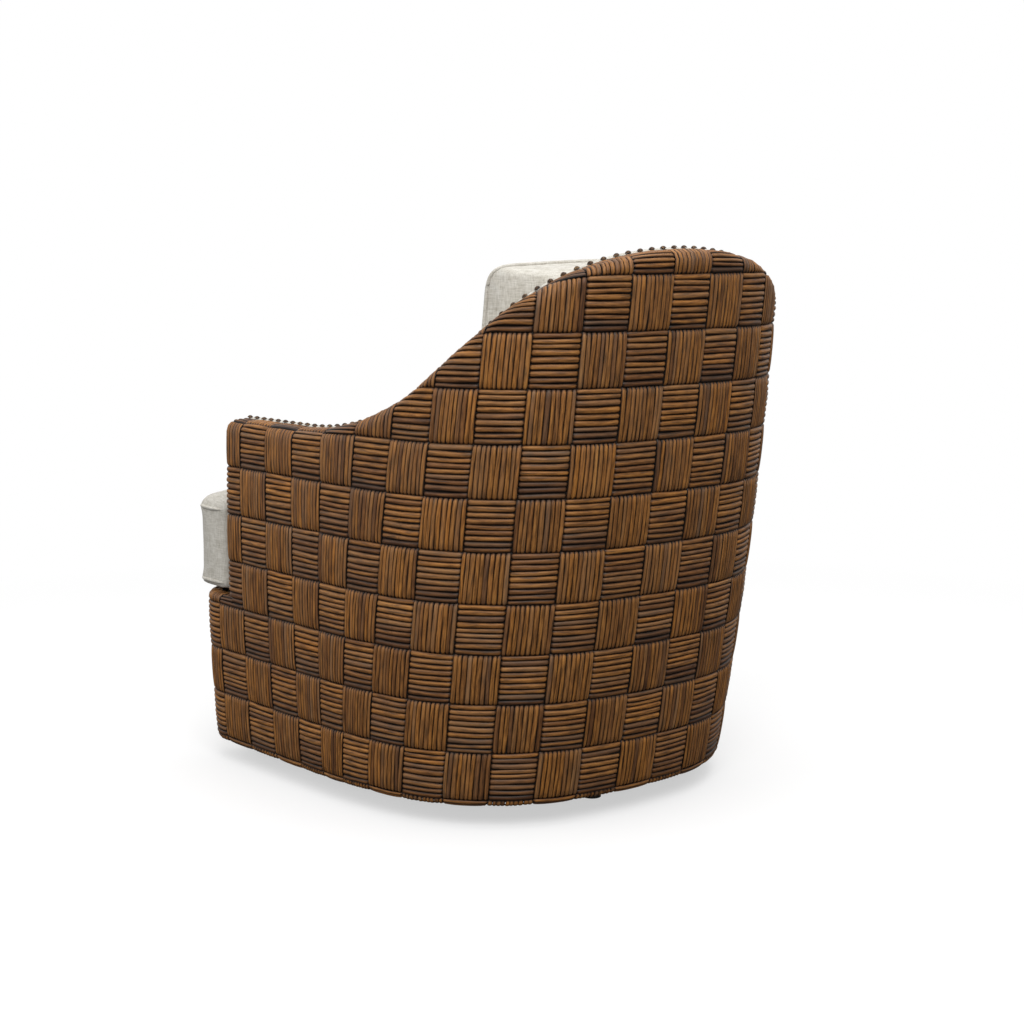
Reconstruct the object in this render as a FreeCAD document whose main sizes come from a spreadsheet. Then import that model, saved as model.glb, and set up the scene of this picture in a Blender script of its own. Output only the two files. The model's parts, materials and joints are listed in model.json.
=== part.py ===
import FreeCAD, Part
import math
import os
import Sketcher

# Swivel rocker: a barrel chair with a woven shell on a swivel and rocker base.
# Front is -Y, the sitter's left is +X, and the origin is on the floor under the swivel axis.

V3 = FreeCAD.Vector
doc = FreeCAD.newDocument("swivel_rocker")

SIZES = [
    # plan of the shell's outer face at mid height, walked from the middle of the back
    ("back_radius", 805), ("back_angle", 8), ("corner_radius", 280), ("corner_angle", 76),
    ("side_radius", 900), ("side_angle", 86), ("back_reach", 367),
    ("arm_run", 280), ("arm_corner", 26), ("base_run", 333), ("base_corner", 80), ("front_radius", 6000),
    # heights of the shell
    ("shell_bottom", 34), ("mid_height", 406), ("arm_height", 600), ("back_height", 883),
    ("base_height", 298),
    # rake of the back and barrel of the walls over a span above and below mid height
    ("lean_span", 400), ("lean_rise", 62), ("lean_end", 730), ("back_barrel", 6), ("side_barrel", 14),
    # unrolled outline of the rim: crown, shoulder, ramp and swoop down to the arms
    ("crown_radius", 673), ("crown_angle", 12), ("shoulder_radius", 464), ("ramp_angle", 39.7),
    ("swoop_radius", 421),
    # layers of the wall, from the outer face inwards
    ("wall", 66), ("weave", 9), ("rim_roll", 20), ("hem_roll", 13), ("hem_fold", 26), ("rim_width", 38),
    ("base_roll", 12), ("layer_gap", 0.3), ("board_gap", 0.9), ("board", 3), ("bent_rail", 12), ("rim_rail_height", 26),
    ("rim_rail_drop", 12.5),
    ("post_width", 45), ("post_depth", 22), ("lining", 18), ("lining_lip", 26),
    # rails of the frame
    ("rail_height", 60), ("bottom_rail_z", 48), ("slat_rail_z", 152), ("rail_thick", 25),
    ("slat_width", 90), ("slat_thick", 25), ("rear_rail_y", 205), ("front_rail_y", 390),
    # nailheads
    ("nail_radius", 4.8), ("nail_height", 3.4), ("nail_pitch", 20.8), ("nail_inset", 40),
    ("nail_lift", 0.7),
    # spacing of the lofted sections along the wall and round its tight corners
    ("station_step", 31), ("corner_step", 14), ("front_step", 20),
    # floor base
    ("ring_radius", 200), ("ring_bar", 14), ("glide_radius", 15), ("glide_height", 5), ("glide_count", 6),
    ("cross_width", 40), ("cross_thick", 5), ("hub_radius", 95), ("hub_thick", 4), ("hub_bolt_circle", 80),
    ("bolt_radius", 4), ("bolt_head", 7), ("bolt_head_height", 5), ("bolt_play", 0.2),
    # swivel bearing
    ("race_inner", 40), ("race_outer", 58), ("race_thick", 5), ("ball_radius", 4), ("ball_sink", 1.5),
    ("ball_count", 24), ("ball_play", 0.15), ("king_radius", 6), ("king_play", 0.06), ("king_head", 11),
    ("king_head_height", 6), ("washer_thick", 2),
    # turntable and rocker
    ("table_length", 300), ("table_width", 300), ("table_thick", 4), ("pivot_height", 100),
    ("cheek_x", 135), ("cheek_thick", 5), ("cheek_width", 60), ("cheek_foot", 38), ("bush_wall", 3),
    ("rod_radius", 8), ("rod_play", 0.06), ("hanger_x", 158), ("hanger_thick", 5), ("hanger_width", 50),
    ("nut_height", 9), ("rocker_top", 153), ("angle_leg", 35), ("angle_thick", 4), ("rocker_length", 340),
    ("bar_width", 50), ("spring_x", 85), ("spring_y", 120), ("spring_radius", 21), ("spring_wire", 5),
    ("spring_turns", 5), ("cup_radius", 27), ("cup_thick", 2), ("cup_boss", 15), ("cup_boss_height", 8),
    ("screw_radius", 3), ("screw_head", 6),
    # seat deck
    ("zigzag_count", 6), ("zigzag_pitch", 80), ("zigzag_reach", 22), ("zigzag_wire", 3.6),
    ("zigzag_step", 24), ("clip_width", 16), ("clip_height", 8), ("deck_thick", 2), ("cover_thick", 1.5),
    ("cover_hole", 235),
    # seat cushion, with ears in front of the arms
    ("cushion_gap", 2.2), ("seat_bottom", 301), ("seat_welt_low", 314), ("seat_welt_high", 441),
    ("seat_crown", 475), ("seat_edge", 26), ("seat_edge_rise", 26), ("seat_under", 9), ("seat_swell", 1),
    ("ear_inset", 6), ("ear_corner", 60), ("crown_corner", 70), ("seat_front_gap", 3), ("notch_radius", 12),
    # back cushion, as cut: half width, height and boxing, with its lean and place
    ("back_half", 238), ("back_tall", 385), ("back_boxing", 80), ("back_crown", 36), ("back_rear_crown", 26),
    ("back_corner", 48), ("back_lean", 10.5), ("back_y", 267), ("back_z", 662), ("back_swell", 11),
    ("back_taper", 0.64),
]


def make_sheet():
    """Put every driving size into one spreadsheet with a named cell."""
    cells = doc.addObject("Spreadsheet::Sheet", "dims")
    for row, (name, value) in enumerate(SIZES, start=1):
        cells.set("A%d" % row, name)
        cells.set("B%d" % row, str(value))
        cells.setAlias("B%d" % row, name)
    doc.recompute()
    return cells


sheet = make_sheet()
parts = []


def size(name):
    """Read one driving size back from the spreadsheet."""
    return float(sheet.get(name))


def bind(obj, **expressions):
    """Tie properties of an object to the spreadsheet."""
    for name, text in expressions.items():
        obj.setExpression(name, text)
    return obj


def keep(obj, label):
    """Name a finished sub-part and list it for export."""
    obj.Label = label
    parts.append(obj)
    return obj


def feature(label, shape):
    """A sub-part whose shape is worked out here from the sheet's sizes."""
    obj = doc.addObject("Part::Feature", label)
    obj.Shape = shape
    obj.Placement = FreeCAD.Placement(V3(0, 0, 0), FreeCAD.Rotation())
    return keep(obj, label)


def primitive(kind, name, place, **expressions):
    """A Part primitive with bound sizes; place gives the expressions of its position."""
    obj = doc.addObject("Part::" + kind, name)
    bind(obj, **expressions)
    for axis, text in zip("xyz", place):
        obj.setExpression("Placement.Base." + axis, text)
    return obj


def boolean(kind, name, base, *tools):
    """Cut, fuse or intersect document objects."""
    if kind == "Cut":
        tool = tools[0] if len(tools) == 1 else boolean("MultiFuse", name + "_tools", *tools)
        obj = doc.addObject("Part::Cut", name)
        obj.Base = base
        obj.Tool = tool
        return obj
    obj = doc.addObject("Part::" + kind, name)
    obj.Shapes = [base] + list(tools)
    return obj


def group(label, members):
    """Loose solids that share one node."""
    obj = doc.addObject("Part::Compound", label)
    obj.Links = members
    return keep(obj, label)


# Sketches and bodies


def new_body(label):
    body = doc.addObject("PartDesign::Body", label)
    return keep(body, label)


def sketch_on(body, role, name):
    """A sketch on one of the body's own origin planes."""
    sketch = body.newObject("Sketcher::SketchObject", name)
    plane = [item for item in body.Origin.OriginFeatures if item.Role == role][0]
    sketch.AttachmentSupport = (plane, [""])
    sketch.MapMode = "FlatFace"
    return sketch


def fix_point(sketch, geometry, point, x, y):
    """Hold one point of a sketch at bound coordinates."""
    for kind, text, axis in (("DistanceX", x, -2), ("DistanceY", y, -1)):
        if text == "0":
            sketch.addConstraint(Sketcher.Constraint("PointOnObject", geometry, point, axis))
        else:
            index = sketch.addConstraint(Sketcher.Constraint(kind, -1, 1, geometry, point, 1.0))
            sketch.setExpression("Constraints[%d]" % index, text)


def sketch_circle(sketch, x, y, radius):
    circle = sketch.addGeometry(Part.Circle(V3(1, 1, 0), V3(0, 0, 1), 1), False)
    index = sketch.addConstraint(Sketcher.Constraint("Radius", circle, 1.0))
    sketch.setExpression("Constraints[%d]" % index, radius)
    fix_point(sketch, circle, 3, x, y)


def sketch_polygon(sketch, corners):
    """A closed outline whose corners are bound pairs of expressions."""
    count = len(corners)
    turn = 2 * math.pi / count
    start = [V3(10 * math.cos(k * turn), 10 * math.sin(k * turn), 0) for k in range(count)]
    for k in range(count):
        sketch.addGeometry(Part.LineSegment(start[k], start[(k + 1) % count]), False)
    for k in range(count):
        sketch.addConstraint(Sketcher.Constraint("Coincident", k, 2, (k + 1) % count, 1))
    for k, (x, y) in enumerate(corners):
        fix_point(sketch, k, 1, x, y)


def pad(body, sketch, length, name, both_ways=False, back=False):
    solid = body.newObject("PartDesign::Pad", name)
    solid.Profile = sketch
    solid.setExpression("Length", length)
    solid.Midplane = both_ways
    solid.Reversed = back
    return solid


def pocket(body, sketch, name):
    cut = body.newObject("PartDesign::Pocket", name)
    cut.Profile = sketch
    cut.Type = "ThroughAll"
    cut.Midplane = True
    return cut


# Plan and rim of the shell


def walk(plan, distance):
    """Follow a chain of arcs and straights; give the point and the outward heading in degrees."""
    x, y, heading = 0.0, size("back_reach"), 0.0
    left = distance
    for length, radius in plan:
        step = max(0.0, min(left, length))
        if radius is None:
            x += step * math.cos(math.radians(heading))
            y -= step * math.sin(math.radians(heading))
        else:
            after = heading + math.degrees(step / radius)
            x += radius * (math.sin(math.radians(after)) - math.sin(math.radians(heading)))
            y -= radius * (math.cos(math.radians(heading)) - math.cos(math.radians(after)))
            heading = after
        left -= step
    return x, y, heading


def arc(radius, degrees):
    return radius * math.radians(degrees), radius


SHELL_PLAN = [
    arc(size("back_radius"), size("back_angle")),
    arc(size("corner_radius"), size("corner_angle") - size("back_angle")),
    arc(size("side_radius"), size("side_angle") - size("corner_angle")),
]
SIDE_END = sum(piece[0] for piece in SHELL_PLAN)
CORNER_END = SHELL_PLAN[0][0] + SHELL_PLAN[1][0]
ARM_END = SIDE_END + size("arm_run")


def base_plan():
    """The whole way round one half of the base, to the middle of its bowed front."""
    plan = SHELL_PLAN + [(size("base_run"), None)]
    x, y, heading = walk(plan, SIDE_END + size("base_run"))
    corner = size("base_corner")
    centre_x = x - corner * math.sin(math.radians(heading))
    bow = math.degrees(math.asin(centre_x / (size("front_radius") - corner)))
    return plan + [arc(corner, 180 - bow - heading), arc(size("front_radius"), bow)]


def arm_plan():
    """Along one side, round the front of the arm and back to its inner face."""
    corner = size("arm_corner")
    flat = size("wall") - 2 * corner
    quarter = arc(corner, 90)
    return SHELL_PLAN + [(size("arm_run"), None), quarter, (flat, None), quarter, (size("post_width"), None)]


BASE_PLAN = base_plan()
ARM_PLAN = arm_plan()
BASE_LENGTH = sum(piece[0] for piece in BASE_PLAN)
BASE_TURN = SIDE_END + size("base_run")
BASE_FRONT = BASE_LENGTH - BASE_PLAN[-1][0]


def span_share(z):
    return (z - size("mid_height")) / size("lean_span")


def shell_point(plan, distance, z, inset):
    """A point of the wall: distance round the plan, height, and depth in from the outer face.

    The back leans by an equal step for each step up, less and less along the sides, and the wall is
    barrelled square to its own face, so every upright section of it is flat. A distance past the
    middle of the front comes back along the other side.
    """
    way = abs(distance)
    whole = sum(piece[0] for piece in plan)
    far_side = distance < 0
    if plan is BASE_PLAN and way > whole:
        way = 2 * whole - way
        far_side = not far_side
    x, y, heading = walk(plan, way)
    share = span_share(z)
    round_share = min(1.0, heading / size("side_angle"))
    bulge = size("back_barrel") + (size("side_barrel") - size("back_barrel")) * round_share
    depth = inset + bulge * share * share
    fade = min(1.0, max(0.0, (way - CORNER_END) / (size("lean_end") - CORNER_END)))
    lean = size("lean_rise") * share * (1 + math.cos(math.pi * fade)) / 2
    turn = math.radians(heading)
    x -= depth * math.sin(turn)
    y -= depth * math.cos(turn) - lean
    return V3(-x if far_side else x, y, z)


def rim_height(distance):
    """Height of the rim over the unrolled wall: crown, shoulder, ramp, swoop, level arm."""
    crown, shoulder, swoop = size("crown_radius"), size("shoulder_radius"), size("swoop_radius")
    soft, steep = math.radians(size("crown_angle")), math.radians(size("ramp_angle"))
    crown_end = crown * math.sin(soft)
    crown_drop = crown * (1 - math.cos(soft))
    shoulder_end = crown_end + shoulder * (math.sin(steep) - math.sin(soft))
    shoulder_drop = crown_drop + shoulder * (math.cos(soft) - math.cos(steep))
    swoop_drop = swoop * (1 - math.cos(steep))
    ramp_drop = size("back_height") - size("arm_height") - shoulder_drop - swoop_drop
    ramp_end = shoulder_end + ramp_drop / math.tan(steep)
    swoop_end = ramp_end + swoop * math.sin(steep)
    way = abs(distance)
    if way < crown_end:
        return size("back_height") - crown + math.sqrt(crown ** 2 - way ** 2)
    if way < shoulder_end:
        across = way - crown_end + shoulder * math.sin(soft)
        centre = size("back_height") - crown_drop - shoulder * math.cos(soft)
        return centre + math.sqrt(shoulder ** 2 - across ** 2)
    if way < ramp_end:
        return size("back_height") - shoulder_drop - (way - shoulder_end) * math.tan(steep)
    if way < swoop_end:
        return size("arm_height") + swoop - math.sqrt(swoop ** 2 - (swoop_end - way) ** 2)
    return size("arm_height")


# Lofted bands of the wall


def section(plan, distance, corners):
    """One closed section of a band: straight or barrelled edges between (inset, z) corners.

    A corner written with a third value, True, starts an edge that bends with the wall or the roll.
    """
    edges = []
    count = len(corners)
    for k in range(count):
        start, end = corners[k], corners[(k + 1) % count]
        first = shell_point(plan, distance, start[1], start[0])
        last = shell_point(plan, distance, end[1], end[0])
        if len(start) > 2:
            middle = shell_point(plan, distance, start[3], start[2])
            edges.append(Part.Arc(first, middle, last).toShape())
        else:
            edges.append(Part.LineSegment(first, last).toShape())
    return Part.Wire(edges)


def band_spans(plan, stations, profile):
    """Loft a profile along the wall in short spans, so that a long band doesn't waver."""
    wires = [section(plan, distance, profile(distance)) for distance in stations]
    last = len(wires) - 1
    spans = max(1, int(round(last / 13.0)))
    cuts = [int(round(last * k / spans)) for k in range(spans + 1)]
    return [Part.makeLoft(wires[low:high + 1], True, False) for low, high in zip(cuts, cuts[1:])]


def joined(pieces):
    return pieces[0] if len(pieces) == 1 else pieces[0].fuse(pieces[1:])


def band(plan, stations, profile):
    """Loft a profile along the wall; profile(distance) gives the section's corners."""
    return joined(band_spans(plan, stations, profile))


def spaced(start, end, step):
    count = max(2, int(math.ceil(abs(end - start) / step)))
    return [start + (end - start) * k / count for k in range(count + 1)]


def wall_side(inset, low, high):
    """An edge up or down the wall that follows the barrel."""
    return (inset, low, inset, (low + high) / 2)


def roll(inset_from, z_from, inset_mid, z_mid):
    return (inset_from, z_from, inset_mid, z_mid)


def slab(near, far, low, high):
    """A plain layer of the wall between two insets."""
    def profile(distance):
        bottom = low(distance) if callable(low) else low
        top = high(distance) if callable(high) else high
        return [wall_side(near, bottom, top), (near, top), wall_side(far, top, bottom), (far, bottom)]
    return profile


def woven_section(bottom, top_of, roll_radius, width):
    """Woven skin: folded under the hem, up the wall, rolled over the rim to the nail line."""
    skin, hem, fold = size("weave"), size("hem_roll"), size("hem_fold")
    bend = 1 - math.sqrt(0.5)

    def profile(distance):
        top = top_of(distance)
        rise = top - roll_radius
        inner_roll, inner_hem = roll_radius - skin, hem - skin
        corners = []
        if bottom is None:
            low = size("base_height") + size("deck_thick") + 2 * size("layer_gap")
            corners.append((skin, low))
            corners.append(wall_side(0, low, rise))
        else:
            low = bottom + hem
            corners.append((fold, bottom))
            corners.append(roll(hem, bottom, hem * bend, bottom + hem * bend))
            corners.append(wall_side(0, low, rise))
        corners.append(roll(0, rise, roll_radius * bend, top - roll_radius * bend))
        corners.append((roll_radius, top))
        corners.append((width, top))
        corners.append((width, top - skin))
        inside = skin + inner_roll * bend
        corners.append(roll(roll_radius, top - skin, inside, top - inside))
        corners.append(wall_side(skin, rise, low))
        if bottom is not None:
            inside = skin + inner_hem * bend
            corners.append(roll(skin, low, inside, bottom + inside))
            corners.append((hem, bottom + skin))
            corners.append((fold, bottom + skin))
        return corners
    return profile


def mirrored(shape):
    return shape.mirror(V3(0, 0, 0), V3(1, 0, 0))


STATION_STEP = size("station_step")
CORNER_STEP = size("corner_step")
WALL_STATIONS = spaced(-ARM_END, -CORNER_END, STATION_STEP) + spaced(-CORNER_END, CORNER_END, STATION_STEP)[1:]
WALL_STATIONS += spaced(CORNER_END, ARM_END, STATION_STEP)[1:]


def front_stations(start):
    """Stations from one side, round both front corners, to the same place on the other side."""
    stops = spaced(start, BASE_TURN, CORNER_STEP) + spaced(BASE_TURN, BASE_FRONT, CORNER_STEP)[1:]
    stops += spaced(BASE_FRONT, BASE_LENGTH, size("front_step"))[1:]
    return stops + [2 * BASE_LENGTH - stop for stop in reversed(stops[:-1])]


def woven_skin():
    """The woven shell in simple pieces: back, two sides, base front and two arm fronts."""
    bottom = size("shell_bottom")
    full = woven_section(bottom, rim_height, size("rim_roll"), size("rim_width"))
    feature("weave_back", band(ARM_PLAN, spaced(-CORNER_END, CORNER_END, STATION_STEP), full))
    side = band(ARM_PLAN, spaced(CORNER_END, ARM_END, STATION_STEP), full)
    feature("weave_left", side)
    feature("weave_right", mirrored(side))
    low = woven_section(bottom, lambda distance: size("base_height"), size("base_roll"), size("hem_fold"))
    feature("weave_front", band(BASE_PLAN, front_stations(ARM_END), low))
    cap = woven_section(None, rim_height, size("rim_roll"), size("arm_corner") - size("board"))
    corner = size("arm_corner") * math.pi / 2
    flat = size("wall") - 2 * size("arm_corner")
    first = ARM_END + corner
    stops = spaced(ARM_END + size("layer_gap"), first, 10) + [first + flat] + spaced(first + flat, first + flat + corner, 10)[1:]
    front = band(ARM_PLAN, stops, cap)
    feature("weave_arm_front_left", front)
    feature("weave_arm_front_right", mirrored(front))


def deck_top():
    """Top of the seat rails, just under the rolled edge of the base weave."""
    return size("base_height") - size("weave") - size("layer_gap")


def under_rim(drop):
    return lambda distance: rim_height(distance) - drop


def wall_layers():
    """Backing board, bent rails, rim rail, posts and lining inside the woven skin."""
    gap = size("layer_gap")
    board_in = size("weave") + size("board_gap")
    board_out = board_in + size("board")
    rail_in = board_out + gap
    rail_out = rail_in + size("bent_rail")
    board_low = size("shell_bottom") + size("hem_roll")
    board = slab(board_in, board_out, board_low, under_rim(size("rim_roll") + gap))
    shape = band(ARM_PLAN, WALL_STATIONS, board)
    feature("backing_board", shape)
    rim_low = size("rim_rail_drop") + size("rim_rail_height")
    rim = slab(rail_in, size("rim_width"), under_rim(rim_low), under_rim(size("rim_rail_drop")))
    feature("rim_rail", band(ARM_PLAN, WALL_STATIONS, rim))
    for label, low in (("bottom_rail", size("bottom_rail_z")), ("slat_rail", size("slat_rail_z")),
                       ("deck_rail", deck_top() - size("rail_height"))):
        feature(label, base_loop(rail_in, rail_out, low))
    post_in = rail_out + gap
    post_top = under_rim(rim_low + 3 * gap)
    post = slab(post_in, post_in + size("post_depth"), size("bottom_rail_z"), post_top)
    places = {"arm_posts": ARM_END - size("post_width") * 1.5, "wing_posts": SIDE_END - size("post_width"),
              "back_posts": CORNER_END / 2}
    posts = []
    for label, place in places.items():
        stops = spaced(place - size("post_width") / 2, place + size("post_width") / 2, size("post_width") / 2)
        one = band(ARM_PLAN, stops, post)
        pair = Part.makeCompound([one, mirrored(one)])
        feature(label, pair)
        posts.append(pair)
    return Part.makeCompound(posts)


def base_loop(near, far, low):
    """A rail that runs all the way round the base between two insets."""
    high = low + size("rail_height")
    return inner_block(near, low, high).cut(inner_block(far, low, high))


def lining_profile(distance):
    """Upholstered lining: thick below, with a lip that reaches out to the nail line under the rim."""
    gap = size("layer_gap")
    wall, lip = size("wall"), size("lining_lip")
    near = size("rim_width") + gap
    far = wall - size("lining")
    top = rim_height(distance)
    low = size("base_height") + size("deck_thick") + 2 * gap
    return [(near, top - lip), (near, top), (wall - lip / 2, top), wall_side(wall, top - lip / 2, low),
            (wall, low), wall_side(far, low, top - lip), (far, top - lip)]


def lining():
    """Inside back and inside arms."""
    back = band(ARM_PLAN, spaced(-CORNER_END, CORNER_END, STATION_STEP), lining_profile)
    feature("lining_back", back)
    side = band(ARM_PLAN, spaced(CORNER_END, ARM_END - size("layer_gap"), STATION_STEP), lining_profile)
    feature("lining_left", side)
    feature("lining_right", mirrored(side))


def rim_seat(distance, inset, lift):
    """A point on top of the rim."""
    return shell_point(ARM_PLAN, distance, rim_height(distance) + lift, inset)


def nailheads():
    """One row of domed heads along the inner edge of the rim."""
    radius, height, inset = size("nail_radius"), size("nail_height"), size("nail_inset")
    ball = (radius ** 2 + height ** 2) / (2 * height)
    low_angle = math.degrees(math.asin((ball - height) / ball))
    end = ARM_END + size("arm_corner") / 2
    lift = size("nail_lift")
    right_heads = []
    distance = size("nail_pitch") / 2
    while distance < end:
        seat = rim_seat(distance, inset, lift)
        along = rim_seat(distance + 1, inset, lift) - seat
        inward = rim_seat(distance, inset + 1, lift) - seat
        up = along.cross(inward)
        up = up if up.z > 0 else up * -1
        up.normalize()
        right_heads.append(Part.makeSphere(ball, seat - up * (ball - height), up, low_angle, 90, 360))
        distance += size("nail_pitch") / along.Length
    feature("nailheads", Part.makeCompound(right_heads + [mirrored(head) for head in right_heads]))


# Floor base


RING_Z = "(dims.glide_height + dims.ring_bar / 2)"
CROSS_Z = "(dims.glide_height + dims.ring_bar)"
HUB_Z = "(%s + dims.cross_thick)" % CROSS_Z
RACE_Z = "(%s + dims.hub_thick)" % HUB_Z
BALL_Z = "(%s + dims.race_thick + dims.ball_radius - dims.ball_sink)" % RACE_Z
UPPER_RACE_Z = "(%s + dims.ball_radius - dims.ball_sink)" % BALL_Z
TABLE_Z = "(%s + dims.race_thick)" % UPPER_RACE_Z
TABLE_TOP = "(%s + dims.table_thick)" % TABLE_Z


def height_of(text):
    """Work out one of the stacked heights from the sheet."""
    for name, _ in sorted(SIZES, key=lambda item: -len(item[0])):
        text = text.replace("dims." + name, str(size(name)))
    total = FreeCAD.Units.Quantity(text)
    return total.Value


def ring_place(radius_name, angle):
    """Expressions for a place on a circle round the swivel axis."""
    turn = math.radians(angle)
    texts = []
    for share in (math.cos(turn), math.sin(turn)):
        texts.append("dims.%s * %.6f" % (radius_name, share) if abs(share) > 1e-6 else "0")
    return texts


def floor_base():
    glides = []
    count = int(size("glide_count"))
    for k in range(count):
        x, y = ring_place("ring_radius", 360.0 * (k + 0.5) / count)
        glides.append(primitive("Cylinder", "glide_%d" % k, (x, y, "0"), Radius="dims.glide_radius",
                                Height="dims.glide_height"))
    group("floor_glides", glides)
    ring = new_body("base_ring")
    profile = sketch_on(ring, "XZ_Plane", "ring_profile")
    sketch_circle(profile, "dims.ring_radius", RING_Z, "dims.ring_bar / 2")
    turned = ring.newObject("PartDesign::Revolution", "ring_turn")
    turned.Profile = profile
    turned.ReferenceAxis = (profile, ["V_Axis"])
    turned.Angle = 360
    cross = new_body("base_cross")
    reach, half = "dims.ring_radius", "dims.cross_width / 2"
    outline = sketch_on(cross, "XY_Plane", "cross_outline")
    sketch_polygon(outline, plus_outline(reach, half))
    bars = pad(cross, outline, "dims.cross_thick", "cross_bars")
    lift_sketch(outline, CROSS_Z)
    bore_holes(cross, "cross_holes", CROSS_Z, "dims.king_radius", "hub_bolt_circle", 0)
    hub = new_body("hub_plate")
    disc = sketch_on(hub, "XY_Plane", "hub_outline")
    sketch_circle(disc, "0", "0", "dims.hub_radius")
    lift_sketch(disc, HUB_Z)
    pad(hub, disc, "dims.hub_thick", "hub_disc")
    bore_holes(hub, "hub_holes", HUB_Z, "dims.king_radius", "hub_bolt_circle", 0)
    bolts = []
    for k in range(4):
        x, y = ring_place("hub_bolt_circle", 90.0 * k)
        bolts.append(bolt("hub_bolt_%d" % k, x, y, CROSS_Z, "dims.cross_thick + dims.hub_thick"))
    group("hub_bolts", bolts)
    race("lower_race", RACE_Z, BALL_Z)
    king_bolt()


def plus_outline(reach, half):
    low = "-" + half
    far = "-" + reach
    return [(reach, low), (reach, half), (half, half), (half, reach), (low, reach), (low, half),
            (far, half), (far, low), (low, low), (low, far), (half, far), (half, low)]


def lift_sketch(sketch, height):
    sketch.setExpression("AttachmentOffset.Base.z", height)


def bore_holes(body, name, height, centre_radius, circle_name, start):
    """A centre bore and four bolt holes through a plate that lies on the swivel axis."""
    holes = sketch_on(body, "XY_Plane", name)
    lift_sketch(holes, height)
    sketch_circle(holes, "0", "0", centre_radius)
    for k in range(4):
        x, y = ring_place(circle_name, start + 90.0 * k)
        sketch_circle(holes, x, y, "dims.bolt_radius + dims.bolt_play")
    return pocket(body, holes, name + "_cut")


def bolt(name, x, y, under, grip):
    """A hexagon bolt from below with its nut on top of the plates that it holds."""
    shank = primitive("Cylinder", name + "_shank", (x, y, under), Radius="dims.bolt_radius",
                      Height=grip + " + dims.bolt_head_height")
    head = primitive("Prism", name + "_head", (x, y, "%s - dims.bolt_head_height" % under),
                     Circumradius="dims.bolt_head", Height="dims.bolt_head_height")
    nut = primitive("Prism", name + "_nut", (x, y, "%s + %s" % (under, grip)),
                    Circumradius="dims.bolt_head", Height="dims.bolt_head_height")
    return boolean("MultiFuse", name, shank, head, nut)


def race(label, height, ball_height):
    """A bearing race: a flat ring with a groove for the balls."""
    middle = "(dims.race_inner + dims.race_outer) / 2"
    outer = primitive("Cylinder", label + "_outer", ("0", "0", height), Radius="dims.race_outer",
                      Height="dims.race_thick")
    inner = primitive("Cylinder", label + "_inner", ("0", "0", height), Radius="dims.race_inner",
                      Height="dims.race_thick")
    groove = primitive("Torus", label + "_groove", ("0", "0", ball_height), Radius1=middle,
                       Radius2="dims.ball_radius + dims.ball_play")
    return keep(boolean("Cut", label, outer, inner, groove), label)


def king_bolt():
    """The pivot bolt of the swivel, with its washer and nut above the turntable."""
    shank_top = "dims.hub_thick + dims.cross_thick + 2 * dims.race_thick + dims.table_thick"
    stack = "2 * (dims.ball_radius - dims.ball_sink)"
    grip = "(%s + %s + dims.layer_gap + dims.washer_thick)" % (shank_top, stack)
    shank = primitive("Cylinder", "king_shank", ("0", "0", CROSS_Z), Radius="dims.king_radius",
                      Height=grip + " + dims.nut_height + dims.washer_thick")
    head = primitive("Prism", "king_head", ("0", "0", "%s - dims.king_head_height" % CROSS_Z),
                     Circumradius="dims.king_head", Height="dims.king_head_height")
    keep(boolean("MultiFuse", "king_bolt", shank, head), "king_bolt")
    top = "%s + dims.layer_gap" % TABLE_TOP
    ring_part("king_washer", top, "2 * dims.king_radius", "dims.king_radius", "dims.washer_thick")
    body = primitive("Prism", "king_nut_body", ("0", "0", top + " + dims.washer_thick"),
                     Circumradius="dims.king_head", Height="dims.nut_height")
    hole = primitive("Cylinder", "king_nut_hole", ("0", "0", top), Radius="dims.king_radius",
                     Height="dims.nut_height + 2 * dims.washer_thick")
    keep(boolean("Cut", "king_nut", body, hole), "king_nut")


def ring_part(label, height, outer_radius, inner_radius, thick):
    outer = primitive("Cylinder", label + "_outer", ("0", "0", height), Radius=outer_radius, Height=thick)
    inner = primitive("Cylinder", label + "_inner", ("0", "0", height), Radius=inner_radius, Height=thick)
    return keep(boolean("Cut", label, outer, inner), label)


# Turntable


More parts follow.
